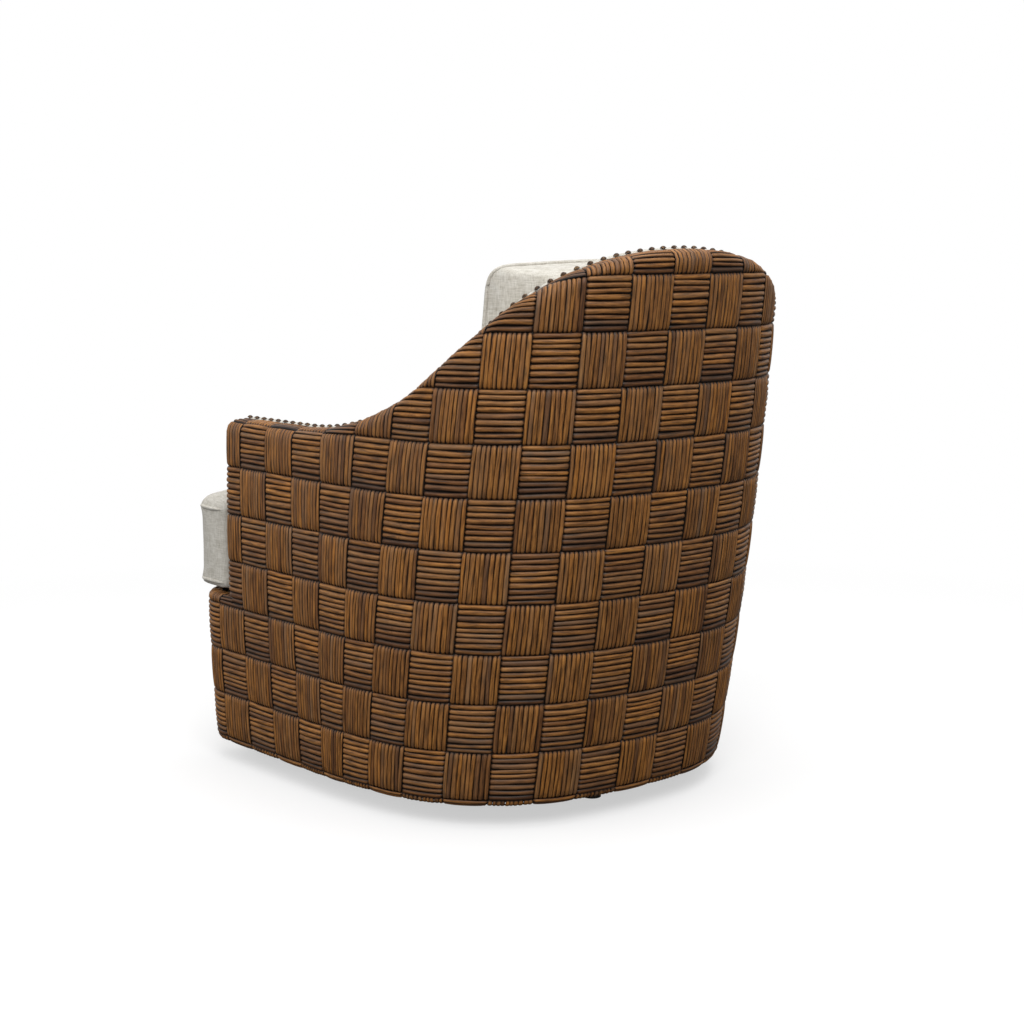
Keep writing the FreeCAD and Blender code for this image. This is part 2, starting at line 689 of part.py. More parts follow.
def turntable():
    plate = new_body("turntable_plate")
    outline = sketch_on(plate, "XY_Plane", "table_outline")
    wide, long = "dims.table_width / 2", "dims.table_length / 2"
    sketch_polygon(outline, [(wide, "-" + long), (wide, long), ("-" + wide, long), ("-" + wide, "-" + long)])
    lift_sketch(outline, TABLE_Z)
    pad(plate, outline, "dims.table_thick", "table_sheet")
    holes = sketch_on(plate, "XY_Plane", "table_holes")
    lift_sketch(holes, TABLE_Z)
    sketch_circle(holes, "0", "0", "dims.king_radius + dims.king_play")
    for x, y in cheek_bolt_places():
        sketch_circle(holes, x, y, "dims.bolt_radius + dims.bolt_play")
    pocket(plate, holes, "table_holes_cut")
    race("upper_race", UPPER_RACE_Z, BALL_Z)
    balls, pockets = [], []
    middle = (size("race_inner") + size("race_outer")) / 2
    count = int(size("ball_count"))
    for k in range(count):
        turn = math.radians(360.0 * k / count)
        x = "(dims.race_inner + dims.race_outer) / 2 * %.6f" % math.cos(turn)
        y = "(dims.race_inner + dims.race_outer) / 2 * %.6f" % math.sin(turn)
        balls.append(primitive("Sphere", "ball_%d" % k, (x, y, BALL_Z), Radius="dims.ball_radius"))
        pockets.append(primitive("Sphere", "pocket_%d" % k, (x, y, BALL_Z),
                                 Radius="dims.ball_radius + dims.ball_play"))
    group("bearing_balls", balls)
    ball_cage(pockets)
    for side, label in ((1, "left"), (-1, "right")):
        pivot_cheek(side, label)
    bushes = []
    for side in (1, -1):
        place = "%d * (dims.cheek_x + dims.cheek_thick / 2) - dims.cheek_thick / 2" % side
        bushes.append(tube_x("bush_%d" % (side + 1), place, "dims.rod_radius + dims.bush_wall",
                             "dims.rod_radius + dims.rod_play", "dims.cheek_thick"))
    group("pivot_bushes", bushes)
    bolts = []
    for k, (x, y) in enumerate(cheek_bolt_places()):
        bolts.append(bolt("cheek_bolt_%d" % k, x, y, TABLE_Z, "dims.table_thick + dims.cheek_thick"))
    group("cheek_bolts", bolts)
    cups = []
    for k, (x, y) in enumerate(spring_places()):
        cups.append(cup("lower_cup_%d" % k, x, y, TABLE_TOP, True))
    group("lower_spring_cups", cups)


def cheek_bolt_places():
    """Two bolts through the foot of each cheek."""
    inward = "(dims.cheek_x - dims.cheek_foot / 2)"
    along = "dims.cheek_width / 3.5"
    return [(a + inward, b + along) for a in ("", "-") for b in ("", "-")]


def spring_places():
    return [("dims.spring_x * %d" % a, "dims.spring_y * %d" % b) for b in (-1, 1) for a in (1, -1)]


def ball_cage(pockets):
    """A thin ring between the races with a pocket for each ball."""
    low = "(%s + dims.race_thick + dims.layer_gap)" % RACE_Z
    thick = "2 * (dims.ball_radius - dims.ball_sink - dims.layer_gap)"
    outer = primitive("Cylinder", "cage_outer", ("0", "0", low), Radius="dims.race_outer", Height=thick)
    inner = primitive("Cylinder", "cage_inner", ("0", "0", low), Radius="dims.race_inner", Height=thick)
    return keep(boolean("Cut", "ball_cage", outer, inner, *pockets), "ball_cage")


def tube_x(name, place, outer, inner, length):
    """A tube along X on the pivot axis, starting at the given x."""
    pieces = []
    for suffix, radius in (("_outer", outer), ("_inner", inner)):
        piece = primitive("Cylinder", name + suffix, (place, "0", "dims.pivot_height"), Radius=radius,
                          Height=length)
        piece.Placement.Rotation = FreeCAD.Rotation(V3(0, 1, 0), 90)
        pieces.append(piece)
    return boolean("Cut", name, pieces[0], pieces[1])


def pivot_cheek(side, label):
    """An angle bracket: a foot bolted to the turntable and an upright with a bore for the bush."""
    body = new_body("pivot_cheek_" + label)
    upright = sketch_on(body, "YZ_Plane", "cheek_upright_" + label)
    half, foot_top = "dims.cheek_width / 2", "(%s + dims.cheek_thick)" % TABLE_TOP
    top = "(dims.pivot_height + dims.rod_radius + dims.bush_wall * 3)"
    narrow = "dims.cheek_width / 4"
    sketch_polygon(upright, [("-" + half, TABLE_TOP), (half, TABLE_TOP), (narrow, top), ("-" + narrow, top)])
    upright.setExpression("AttachmentOffset.Base.z",
                          "%d * (dims.cheek_x + dims.cheek_thick / 2) - dims.cheek_thick / 2" % side)
    pad(body, upright, "dims.cheek_thick", "cheek_wall_" + label)
    foot = sketch_on(body, "XY_Plane", "cheek_foot_" + label)
    lift_sketch(foot, TABLE_TOP)
    near, far = "%d * (dims.cheek_x - dims.cheek_foot)" % side, "%d * (dims.cheek_x + 1)" % side
    sketch_polygon(foot, [(near, "-" + half), (far, "-" + half), (far, half), (near, half)])
    pad(body, foot, "dims.cheek_thick", "cheek_base_" + label)
    bore = sketch_on(body, "YZ_Plane", "cheek_bore_" + label)
    sketch_circle(bore, "0", "dims.pivot_height", "dims.rod_radius + dims.bush_wall")
    pocket(body, bore, "cheek_bore_cut_" + label)
    holes = sketch_on(body, "XY_Plane", "cheek_holes_" + label)
    inward = "%d * (dims.cheek_x - dims.cheek_foot / 2)" % side
    for way in ("", "-"):
        sketch_circle(holes, inward, way + "dims.cheek_width / 3.5", "dims.bolt_radius + dims.bolt_play")
    pocket(body, holes, "cheek_holes_cut_" + label)


def cup(name, x, y, height, upward):
    """A spring seat: a disc with a boss inside the coil."""
    disc = primitive("Cylinder", name + "_disc", (x, y, height), Radius="dims.cup_radius", Height="dims.cup_thick")
    start = "%s + dims.cup_thick" % height if upward else "%s - dims.cup_boss_height" % height
    boss = primitive("Cylinder", name + "_boss", (x, y, start), Radius="dims.cup_boss",
                     Height="dims.cup_boss_height")
    return boolean("MultiFuse", name, disc, boss)


# Rocker


def box(name, x, y, z, length, width, height):
    """A box bound by the expressions of its low corner and its three sizes."""
    return primitive("Box", name, (x, y, z), Length=length, Width=width, Height=height)


def rocker():
    rod_reach = "(dims.hanger_x + dims.hanger_thick + dims.nut_height + 3)"
    rod = primitive("Cylinder", "pivot_rod", ("-" + rod_reach, "0", "dims.pivot_height"),
                    Radius="dims.rod_radius", Height="2 * " + rod_reach)
    rod.Placement.Rotation = FreeCAD.Rotation(V3(0, 1, 0), 90)
    keep(rod, "pivot_rod")
    nuts, spacers = [], []
    for side in (1, -1):
        start = "%d * (dims.hanger_x + dims.hanger_thick + dims.nut_height / 2) - dims.nut_height / 2" % side
        nuts.append(tube_x("rod_nut_%d" % (side + 1), start, "dims.rod_radius * 1.6", "dims.rod_radius",
                           "dims.nut_height"))
        length = "(dims.hanger_x - dims.cheek_x - dims.cheek_thick - dims.layer_gap)"
        middle = "%d * (dims.hanger_x - %s / 2) - %s / 2" % (side, length, length)
        spacers.append(tube_x("spacer_%d" % (side + 1), middle, "dims.rod_radius * 1.4", "dims.rod_radius", length))
    group("rod_nuts", nuts)
    group("rod_spacers", spacers)
    for side, label in ((1, "left"), (-1, "right")):
        hanger(side, label)
        rocker_rail(side, label)
    for way, label in ((-1, "front"), (1, "rear")):
        reach = "(dims.hanger_x + dims.hanger_thick)"
        bar = box("rocker_bar_" + label, "-" + reach, "%d * dims.spring_y - dims.bar_width / 2" % way,
                  "dims.rocker_top - dims.angle_thick", "2 * " + reach, "dims.bar_width", "dims.angle_thick")
        keep(bar, "rocker_bar_" + label)
    cups = []
    for k, (x, y) in enumerate(spring_places()):
        under = "(dims.rocker_top - dims.angle_thick - dims.cup_thick)"
        cups.append(cup("upper_cup_%d" % k, x, y, under, False))
    group("upper_spring_cups", cups)
    springs()


def hanger(side, label):
    """A plate that hangs the rocker on the pivot rod."""
    body = new_body("hanger_" + label)
    face = sketch_on(body, "YZ_Plane", "hanger_face_" + label)
    half, low = "dims.hanger_width / 2", "(dims.pivot_height - dims.rod_radius * 2.2)"
    narrow = "dims.hanger_width / 3"
    top = "(dims.rocker_top - dims.angle_thick)"
    sketch_polygon(face, [("-" + narrow, low), (narrow, low), (half, "dims.pivot_height"), (half, top),
                          ("-" + half, top), ("-" + half, "dims.pivot_height")])
    start = "%d * (dims.hanger_x + dims.hanger_thick / 2) - dims.hanger_thick / 2" % side
    face.setExpression("AttachmentOffset.Base.z", start)
    pad(body, face, "dims.hanger_thick", "hanger_plate_" + label)
    bore = sketch_on(body, "YZ_Plane", "hanger_bore_" + label)
    sketch_circle(bore, "0", "dims.pivot_height", "dims.rod_radius")
    pocket(body, bore, "hanger_bore_cut_" + label)


def rocker_rail(side, label):
    """An angle rail along the rocker, with holes for the lag screws in its flange."""
    body = new_body("rocker_rail_" + label)
    face = sketch_on(body, "XZ_Plane", "rail_face_" + label)
    near = "%d * (dims.hanger_x + dims.hanger_thick)" % side
    inner = "%d * (dims.hanger_x + dims.hanger_thick + dims.angle_thick)" % side
    far = "%d * (dims.hanger_x + dims.hanger_thick + dims.angle_leg)" % side
    top, under = "dims.rocker_top", "dims.rocker_top - dims.angle_thick"
    low = "dims.rocker_top - dims.angle_leg"
    sketch_polygon(face, [(near, low), (inner, low), (inner, under), (far, under), (far, top), (near, top)])
    pad(body, face, "dims.rocker_length", "rail_angle_" + label, both_ways=True)
    holes = sketch_on(body, "XY_Plane", "rail_holes_" + label)
    lift_sketch(holes, "dims.rocker_top")
    for x, y in screw_places():
        if x.startswith("-") == (side < 0):
            sketch_circle(holes, x, y, "dims.screw_radius")
    pocket(body, holes, "rail_holes_cut_" + label)


def screw_places():
    """Four lag screws through the rails into each slat."""
    middle = "(dims.hanger_x + dims.hanger_thick + dims.angle_thick / 2 + dims.angle_leg / 2)"
    rows = ["%d * dims.spring_y %s dims.slat_width / 4" % (way, sign) for way in (-1, 1) for sign in "+-"]
    return [(a + middle, row) for a in ("", "-") for row in rows]


def coil(x, y, low, high):
    """A coil spring as one unbroken wire: quarter turns as arcs, with the first and last turn closed."""
    radius, turns = size("spring_radius"), int(size("spring_turns"))
    wire_radius = size("spring_wire") / 2
    start, end = low + wire_radius, high - wire_radius
    pitch = (end - start) / turns
    steps = turns * 4

    def point(quarter):
        angle = math.pi / 2 * quarter
        return V3(x + radius * math.cos(angle), y + radius * math.sin(angle), start + pitch * quarter / 4)

    edges = [Part.Arc(point(k), point(k + 0.5), point(k + 1)).toShape() for k in range(steps)]
    path = Part.Wire(edges)
    rise = math.atan(pitch / (2 * math.pi * radius))
    tangent = V3(0, math.cos(rise), math.sin(rise))
    ring = Part.Wire(Part.makeCircle(wire_radius, point(0), tangent))
    spring = path.makePipeShell([ring], True, False)
    length = 2 * math.pi * radius / math.cos(rise) * turns
    print("coil", round(spring.Volume / (math.pi * wire_radius ** 2 * length), 4),
          "least gap", round(pitch - 2 * wire_radius, 2))
    return spring


def springs():
    gap = size("layer_gap")
    low = height_of(TABLE_TOP) + size("cup_thick") + gap
    high = size("rocker_top") - size("angle_thick") - size("cup_thick") - gap
    for way, label in ((-1, "front"), (1, "rear")):
        pair = [coil(side * size("spring_x"), way * size("spring_y"), low, high) for side in (1, -1)]
        feature("rocker_springs_" + label, Part.makeCompound(pair))


# Seat frame


def inner_block(inset, low, high):
    """The space inside the bent rails, as one solid, to trim what butts against them."""
    wires = []
    for z in (low, (low + high) / 2, high):
        stops = spaced(0, SIDE_END, STATION_STEP) + spaced(SIDE_END, BASE_TURN, STATION_STEP)[1:]
        stops += spaced(BASE_TURN, BASE_FRONT, CORNER_STEP)[1:]
        stops += spaced(BASE_FRONT, BASE_LENGTH, STATION_STEP)[1:]
        left = [shell_point(BASE_PLAN, stop, z, inset) for stop in stops]
        right = [V3(-point.x, point.y, point.z) for point in reversed(left[1:-1])]
        curve = Part.BSplineCurve()
        curve.interpolate(left + right, PeriodicFlag=True)
        wires.append(Part.Wire(curve.toShape()))
    return Part.makeLoft(wires, True, True)


def seat_frame(posts):
    """Slats that carry the rocker, seat rails with their springs, deck cloth and dust cover.

    The cross pieces are notched round the posts.
    """
    gap = size("layer_gap")
    rail_face = size("weave") + size("board_gap") + size("board") + size("bent_rail") + 2 * gap
    slat_low = size("rocker_top")
    block = inner_block(rail_face, slat_low, slat_low + size("slat_thick"))
    reach = size("side_radius")
    for way, label in ((-1, "front"), (1, "rear")):
        low_y = way * size("spring_y") - size("slat_width") / 2
        plank = Part.makeBox(2 * reach, size("slat_width"), size("slat_thick"), V3(-reach, low_y, slat_low))
        feature("slat_" + label, plank.common(block).cut(posts))
    screws = []
    for k, (x, y) in enumerate(screw_places()):
        under = "(dims.rocker_top - dims.angle_thick)"
        shank = primitive("Cylinder", "screw_%d_shank" % k, (x, y, under), Radius="dims.screw_radius",
                          Height="dims.angle_thick + dims.slat_thick * 0.8")
        head = primitive("Prism", "screw_%d_head" % k, (x, y, under + " - dims.angle_thick"),
                         Circumradius="dims.screw_head", Height="dims.angle_thick")
        screws.append(boolean("MultiFuse", "screw_%d" % k, shank, head))
    group("lag_screws", screws)
    deck_low = deck_top() - size("rail_height")
    block = inner_block(rail_face, deck_low, deck_top())
    front_y = -size("front_rail_y")
    for label, low_y in (("seat_rail_front", front_y), ("seat_rail_rear", size("rear_rail_y"))):
        plank = Part.makeBox(2 * reach, size("rail_thick"), size("rail_height"), V3(-reach, low_y, deck_low))
        feature(label, plank.common(block).cut(posts))
    zigzag_springs(front_y + size("rail_thick"), size("rear_rail_y"))
    top = size("base_height")
    cloth = inner_block(rail_face + size("post_depth") + gap, top + gap, top + gap + size("deck_thick"))
    feature("deck_cloth", cloth)
    low = size("bottom_rail_z") - gap - size("cover_thick")
    sheet_solid = inner_block(rail_face - size("bent_rail") / 2, low, low + size("cover_thick"))
    hole = Part.makeCylinder(size("cover_hole"), size("rail_height"), V3(0, 0, low - size("cover_thick")))
    feature("dust_cover", sheet_solid.cut(hole))


class Turtle:
    """Draws a path of tangent straights and arcs in a level plane."""

    def __init__(self, x, y, z, heading):
        self.here = V3(x, y, z)
        self.heading = math.radians(heading)
        self.edges = []

    def forward(self, length):
        step = V3(math.cos(self.heading), math.sin(self.heading), 0) * length
        self.edges.append(Part.LineSegment(self.here, self.here + step).toShape())
        self.here = self.here + step

    def turn(self, radius, degrees):
        """Turn left for a positive angle, right for a negative one."""
        side = 1 if degrees > 0 else -1
        normal = self.heading + side * math.pi / 2
        centre = self.here + V3(math.cos(normal), math.sin(normal), 0) * radius
        points = []
        for share in (0.5, 1.0):
            angle = normal + math.pi + math.radians(degrees) * share
            points.append(centre + V3(math.cos(angle), math.sin(angle), 0) * radius)
        self.edges.append(Part.Arc(self.here, points[0], points[1]).toShape())
        self.here = points[1]
        self.heading += math.radians(degrees)


def zigzag_springs(front, rear):
    """Flat zigzag wires from the front rail to the rear rail, each end under a clip."""
    wire, bend = size("zigzag_wire") / 2, size("zigzag_step") / 2
    level = deck_top() + size("clip_height") / 2
    reach, count = size("zigzag_reach"), int(size("zigzag_count"))
    pairs = int((rear - front - 6 * bend) / (4 * bend))
    lead = (rear - front - pairs * 4 * bend - 2 * bend) / 2 + size("rail_thick") / 2
    wires, clips = [], []
    for k in range(count):
        x = (k - (count - 1) / 2) * size("zigzag_pitch")
        start = V3(x, front - size("rail_thick") / 2, level)
        path = Turtle(start.x, start.y, start.z, 90)
        path.forward(lead)
        path.turn(bend, -90)
        path.forward(reach - 2 * bend)
        for pair in range(pairs):
            path.turn(bend, 180)
            path.forward(2 * (reach - bend))
            path.turn(bend, -180)
            path.forward(2 * (reach - bend) if pair < pairs - 1 else reach - 2 * bend)
        path.turn(bend, 90)
        path.forward(rear + size("rail_thick") / 2 - path.here.y)
        ring = Part.Wire(Part.makeCircle(wire, start, V3(0, 1, 0)))
        wires.append(Part.Wire(path.edges).makePipeShell([ring], True, False))
        for clip_y in (front - size("rail_thick") * 0.8, rear + size("rail_thick") * 0.3):
            clips.append(clip(x, clip_y, level, wire))
    feature("seat_springs", Part.makeCompound(wires))
    feature("spring_clips", Part.makeCompound(clips))


def clip(x, y, z, wire):
    """A folded clip over the end of a spring."""
    wide, tall, long = size("clip_width"), size("clip_height"), size("rail_thick") / 2
    body = Part.makeBox(wide, long, tall, V3(x - wide / 2, y, z - tall / 2))
    slot = Part.makeCylinder(wire, long * 2, V3(x, y - long / 2, z), V3(0, 1, 0))
    return body.cut(slot)


# Cushions


def ring_of(points_and_arcs):
    """A closed flat wire from straights and three-point arcs given in order."""
    edges = []
    for piece in points_and_arcs:
        if len(piece) == 3:
            edges.append(Part.Arc(*piece).toShape())
        else:
            edges.append(Part.LineSegment(*piece).toShape())
    return Part.Wire(edges)


def lining_line(distance, gap):
    """A point on the inner face of the lining, level with the seat deck, held off by a gap."""
    return shell_point(ARM_PLAN, distance, size("seat_welt_low"), size("wall") + gap)


def seat_half(inset, ears=True):
    """One half of the seat cushion's outline, from the middle of its back to the middle of its front.

    The inset draws the whole outline in from its neighbours; the crown has no ears.
    """
    gap = size("cushion_gap") + inset
    level = size("seat_welt_low")
    pieces = []
    stops = [0.0, SHELL_PLAN[0][0], CORNER_END, SIDE_END]
    for start, end in zip(stops, stops[1:]):
        pieces.append([lining_line(start, gap), lining_line((start + end) / 2, gap), lining_line(end, gap)])
    side_end = lining_line(SIDE_END, gap)
    ahead = lining_line(ARM_END, gap)
    way = (ahead - side_end).normalize()
    front_y = shell_point(BASE_PLAN, BASE_LENGTH, level, 0).y + size("seat_front_gap") + inset
    ear = size("ear_corner") - inset if ears else size("crown_corner")
    if ears:
        ear_side = seat_ear(pieces, side_end, way, gap, inset)
    else:
        meet = side_end + way * ((side_end.y - front_y - ear) / -way.y)
        pieces.append([side_end, meet])
        ear_side = meet
    ear_top = V3(ear_side.x, front_y + ear, level)
    bend = ear * (1 - math.sqrt(0.5))
    if ears:
        pieces.append([ear_side, ear_top])
    corner_mid = V3(ear_side.x - bend, front_y + bend, level)
    pieces.append([ear_top, corner_mid, V3(ear_side.x - ear, front_y, level)])
    pieces.append([V3(ear_side.x - ear, front_y, level), V3(0, front_y, level)])
    return pieces


def seat_ear(pieces, side_end, way, gap, inset):
    """Carry the outline round the arm's front and out to the side of the base."""
    level = side_end.z
    arm_stops = spaced(ARM_END, ARM_END + 2 * size("wall"), size("arm_corner") / 2)
    arm_front = min(shell_point(ARM_PLAN, stop, size("mid_height"), 0).y for stop in arm_stops) - gap
    notch = size("notch_radius") + inset
    meet = side_end + way * ((side_end.y - arm_front - notch) / -way.y)
    outward = V3(meet.x + notch, arm_front, level)
    bend = notch * (1 - math.sqrt(0.5))
    pieces.append([side_end, meet])
    pieces.append([meet, V3(meet.x + bend, arm_front + bend, level), outward])
    rear_ear = 2 * size("notch_radius") - inset / 2
    side_stop = ARM_END + size("arm_corner") + 2 * size("notch_radius")
    side = shell_point(BASE_PLAN, side_stop, level, size("ear_inset") + inset)
    bend = rear_ear * (1 - math.sqrt(0.5))
    pieces.append([outward, V3(side.x - rear_ear, arm_front, level)])
    pieces.append([V3(side.x - rear_ear, arm_front, level), V3(side.x - bend, arm_front - bend, level),
                   V3(side.x, arm_front - rear_ear, level)])
    return V3(side.x, arm_front - rear_ear, level)


def flip(point):
    return V3(-point.x, point.y, point.z)


def layer(half, z):
    """A whole outline from its half, moved to a height."""
    right = [[V3(point.x, point.y, z) for point in piece] for piece in half]
    left = [[flip(point) for point in reversed(piece)] for piece in reversed(right)]
    return ring_of(right + left)


def seat_cushion():
    """T-shaped cushion: flat where it rests, drawn in at its two welts, with a crowned top."""
    low, high, crown = size("seat_welt_low"), size("seat_welt_high"), size("seat_crown")
    edge, full = size("seat_edge"), size("seat_edge_rise")
    bottom = [(size("seat_under"), size("seat_bottom")), (0, low)]
    sides = [(0, low), (-size("seat_swell"), (low + high) / 2), (0, high)]
    top = [(0, high), (edge * 0.15, high + full * 0.4), (edge * 0.45, high + full * 0.78), (edge, high + full)]
    dome = [(edge * 1.4, high + full), (edge * 2.8, high + full + (crown - high - full) * 0.7),
            (edge * 4.6, crown)]
    solids = []
    for stack, ears in ((bottom, True), (sides, True), (top, True), (dome, False)):
        wires = [layer(seat_half(inset, ears), z) for inset, z in stack]
        solids.append(Part.makeLoft(wires, True, False))
    feature("seat_cushion", solids[0].fuse(solids[1:]))


def pillow_outline(wide_share, tall_share, depth):
    """The back cushion's outline in its own plane: swollen sides, rounded corners, flat foot."""
    half, tall = size("back_half") * wide_share, size("back_tall") * tall_share / 2
    corner = size("back_corner") * min(wide_share, tall_share)
    swell = size("back_swell") * wide_share
    bend = corner * (1 - math.sqrt(0.5))
    top = tall + swell
    right = [
        [V3(0, depth, top), V3((half - corner) / 2, depth, tall + swell * 0.75), V3(half - corner, depth, tall)],
        [V3(half - corner, depth, tall), V3(half - bend, depth, tall - bend), V3(half, depth, tall - corner)],
        [V3(half, depth, tall - corner), V3(half + swell, depth, 0), V3(half, depth, corner - tall)],
        [V3(half, depth, corner - tall), V3(half - bend, depth, bend - tall), V3(half - corner, depth, -tall)],
        [V3(half - corner, depth, -tall), V3(0, depth, -tall)],
    ]
    left = [[flip(point) for point in reversed(piece)] for piece in reversed(right)]
    return ring_of(right + left)


def back_cushion():
    """Loose box cushion, tapered to the rear where the barrel of the shell holds it, with a crowned front."""
    half_box = size("back_boxing") / 2
    front, rear, taper = size("back_crown"), size("back_rear_crown"), size("back_taper")
    stacks = [
        [(0.72, 0.7, -half_box - front), (0.9, 0.88, -half_box - front * 0.72),
         (0.975, 0.97, -half_box - front * 0.3), (1.0, 1.0, -half_box)],
        [(1.0, 1.0, -half_box), ((1 + taper) / 2 + 0.03, 1.0, 0), (taper, 0.97, half_box)],
        [(taper, 0.97, half_box), (taper * 0.7, 0.9, half_box + rear * 0.65), (taper * 0.4, 0.7, half_box + rear)],
    ]
    solids = [Part.makeLoft([pillow_outline(*step) for step in stack], True, False) for stack in stacks]
    cushion = solids[0].fuse(solids[1:])
    tilt = FreeCAD.Rotation(V3(1, 0, 0), -size("back_lean"))
    cushion.Placement = FreeCAD.Placement(V3(0, size("back_y"), size("back_z")), tilt)
    inset = size("wall") + 2 * size("layer_gap")
    room = inner_block(inset, size("seat_welt_high"), size("back_height") + size("rim_roll"))
    feature("back_cushion", cushion.common(room))


def check_and_write():
    """Stop on any failed object, then write one STEP file for each sub-part."""
    doc.recompute()
    failed = [obj.Name for obj in doc.Objects if "Invalid" in obj.State or "Error" in obj.State]
    if failed:
        raise RuntimeError("failed objects: " + ", ".join(failed))
    os.makedirs("parts", exist_ok=True)
    for obj in parts:
        if obj.Shape.isNull() or not obj.Shape.isValid():
            raise RuntimeError("bad shape: " + obj.Label)
        if obj.Shape.Volume <= 0 or not obj.Shape.Solids:
            raise RuntimeError("empty sub-part: " + obj.Label)
        obj.Shape.exportStep(os.path.join("parts", obj.Label + ".step"))
    print(len(parts), "sub-parts written")


floor_base()
turntable()
rocker()
woven_skin()
wall_posts = wall_layers()
lining()
nailheads()
seat_frame(wall_posts)
seat_cushion()
back_cushion()
check_and_write()
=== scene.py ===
import json
import math
import random

import bmesh
import bpy
import numpy as np
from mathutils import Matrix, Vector
from mathutils.bvhtree import BVHTree


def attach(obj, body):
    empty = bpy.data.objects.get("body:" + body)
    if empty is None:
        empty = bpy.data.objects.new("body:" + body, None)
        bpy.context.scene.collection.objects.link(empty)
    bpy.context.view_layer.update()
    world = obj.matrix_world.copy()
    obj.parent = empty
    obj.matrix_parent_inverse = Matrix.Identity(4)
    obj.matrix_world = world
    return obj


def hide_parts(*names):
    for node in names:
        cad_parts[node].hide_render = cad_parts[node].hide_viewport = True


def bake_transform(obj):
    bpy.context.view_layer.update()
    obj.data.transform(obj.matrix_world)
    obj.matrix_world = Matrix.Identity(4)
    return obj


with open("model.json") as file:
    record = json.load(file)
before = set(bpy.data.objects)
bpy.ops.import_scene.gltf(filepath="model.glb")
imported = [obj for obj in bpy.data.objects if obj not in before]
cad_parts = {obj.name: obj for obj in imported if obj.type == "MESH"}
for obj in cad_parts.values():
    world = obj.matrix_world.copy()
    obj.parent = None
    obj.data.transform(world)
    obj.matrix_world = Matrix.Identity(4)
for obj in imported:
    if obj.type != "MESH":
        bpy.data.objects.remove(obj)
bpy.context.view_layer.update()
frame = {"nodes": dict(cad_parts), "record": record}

MM = 0.001


# Walls of the shell in millimetres, from the same sizes as the solid model


BACK_REACH = 367.0
BACK_ARC, CORNER_ARC, SIDE_ARC = (805.0, 8.0), (280.0, 68.0), (900.0, 10.0)
ARM_RUN, ARM_CORNER, BASE_RUN, BASE_CORNER, FRONT_RADIUS = 280.0, 26.0, 333.0, 80.0, 6000.0
WALL = 66.0
SHELL_BOTTOM, MID_HEIGHT, ARM_HEIGHT, BACK_HEIGHT, BASE_HEIGHT = 34.0, 406.0, 600.0, 883.0, 298.0


def arc_run(radius, degrees):
    return radius * math.radians(degrees), radius


SHELL_RUNS = [arc_run(*BACK_ARC), arc_run(*CORNER_ARC), arc_run(*SIDE_ARC)]
SIDE_END = sum(run[0] for run in SHELL_RUNS)
CORNER_END = SHELL_RUNS[0][0] + SHELL_RUNS[1][0]
ARM_END = SIDE_END + ARM_RUN


def walk(runs, distance):
    """Follow arcs and straights from the middle of the back; give the place and outward heading."""
    x, y, heading = 0.0, BACK_REACH, 0.0
    left = distance
    for length, radius in runs:
        step = max(0.0, min(left, length))
        if radius is None:
            x += step * math.cos(heading)
            y -= step * math.sin(heading)
        else:
            after = heading + step / radius
            x += radius * (math.sin(after) - math.sin(heading))
            y -= radius * (math.cos(heading) - math.cos(after))
            heading = after
        left -= step
    return x, y, heading


def base_runs():
    runs = SHELL_RUNS + [(BASE_RUN, None)]
    x, y, heading = walk(runs, SIDE_END + BASE_RUN)
    centre_x = x - BASE_CORNER * math.sin(heading)
    bow = math.asin(centre_x / (FRONT_RADIUS - BASE_CORNER))
    corner = BASE_CORNER * (math.pi - bow - heading)
    return runs + [(corner, BASE_CORNER), (FRONT_RADIUS * bow, FRONT_RADIUS)]


ARM_TURN = math.pi / 2 * ARM_CORNER
ARM_FLAT = WALL - 2 * ARM_CORNER
ARM_WRAP = ARM_END + 2 * ARM_TURN + ARM_FLAT
BASE_RUNS = base_runs()
ARM_RUNS = SHELL_RUNS + [(ARM_RUN, None), (ARM_TURN, ARM_CORNER), (ARM_FLAT, None), (ARM_TURN, ARM_CORNER),
                         (60.0, None)]
BASE_LENGTH = sum(run[0] for run in BASE_RUNS)


def plan_table(runs):
    """Places and headings every millimetre along a plan, for quick reading."""
    total = int(sum(run[0] for run in runs)) + 2
    return np.array([walk(runs, float(k)) for k in range(total)])


BASE_TABLE, ARM_TABLE = plan_table(BASE_RUNS), plan_table(ARM_RUNS)


def wall_points(table, distance, z, inset):
    """Points of the wall in millimetres for arrays of distance round the plan, height and depth."""
    way = np.abs(distance)
    far_side = distance < 0
    if table is BASE_TABLE:
        past = way > BASE_LENGTH
        way = np.where(past, 2 * BASE_LENGTH - way, way)
        far_side = far_side ^ past
    steps = np.arange(len(table))
    x = np.interp(way, steps, table[:, 0])
    y = np.interp(way, steps, table[:, 1])
    heading = np.interp(way, steps, table[:, 2])
    share = (z - MID_HEIGHT) / 400.0
    round_share = np.minimum(1.0, heading / math.radians(86.0))
    depth = inset + (6.0 + 8.0 * round_share) * share ** 2
    fade = np.clip((way - CORNER_END) / (730.0 - CORNER_END), 0, 1)
    lean = 62.0 * share * (1 + np.cos(math.pi * fade)) / 2
    x = x - depth * np.sin(heading)
    y = y - depth * np.cos(heading) + lean
    return np.stack([np.where(far_side, -x, x), y, z], axis=-1)


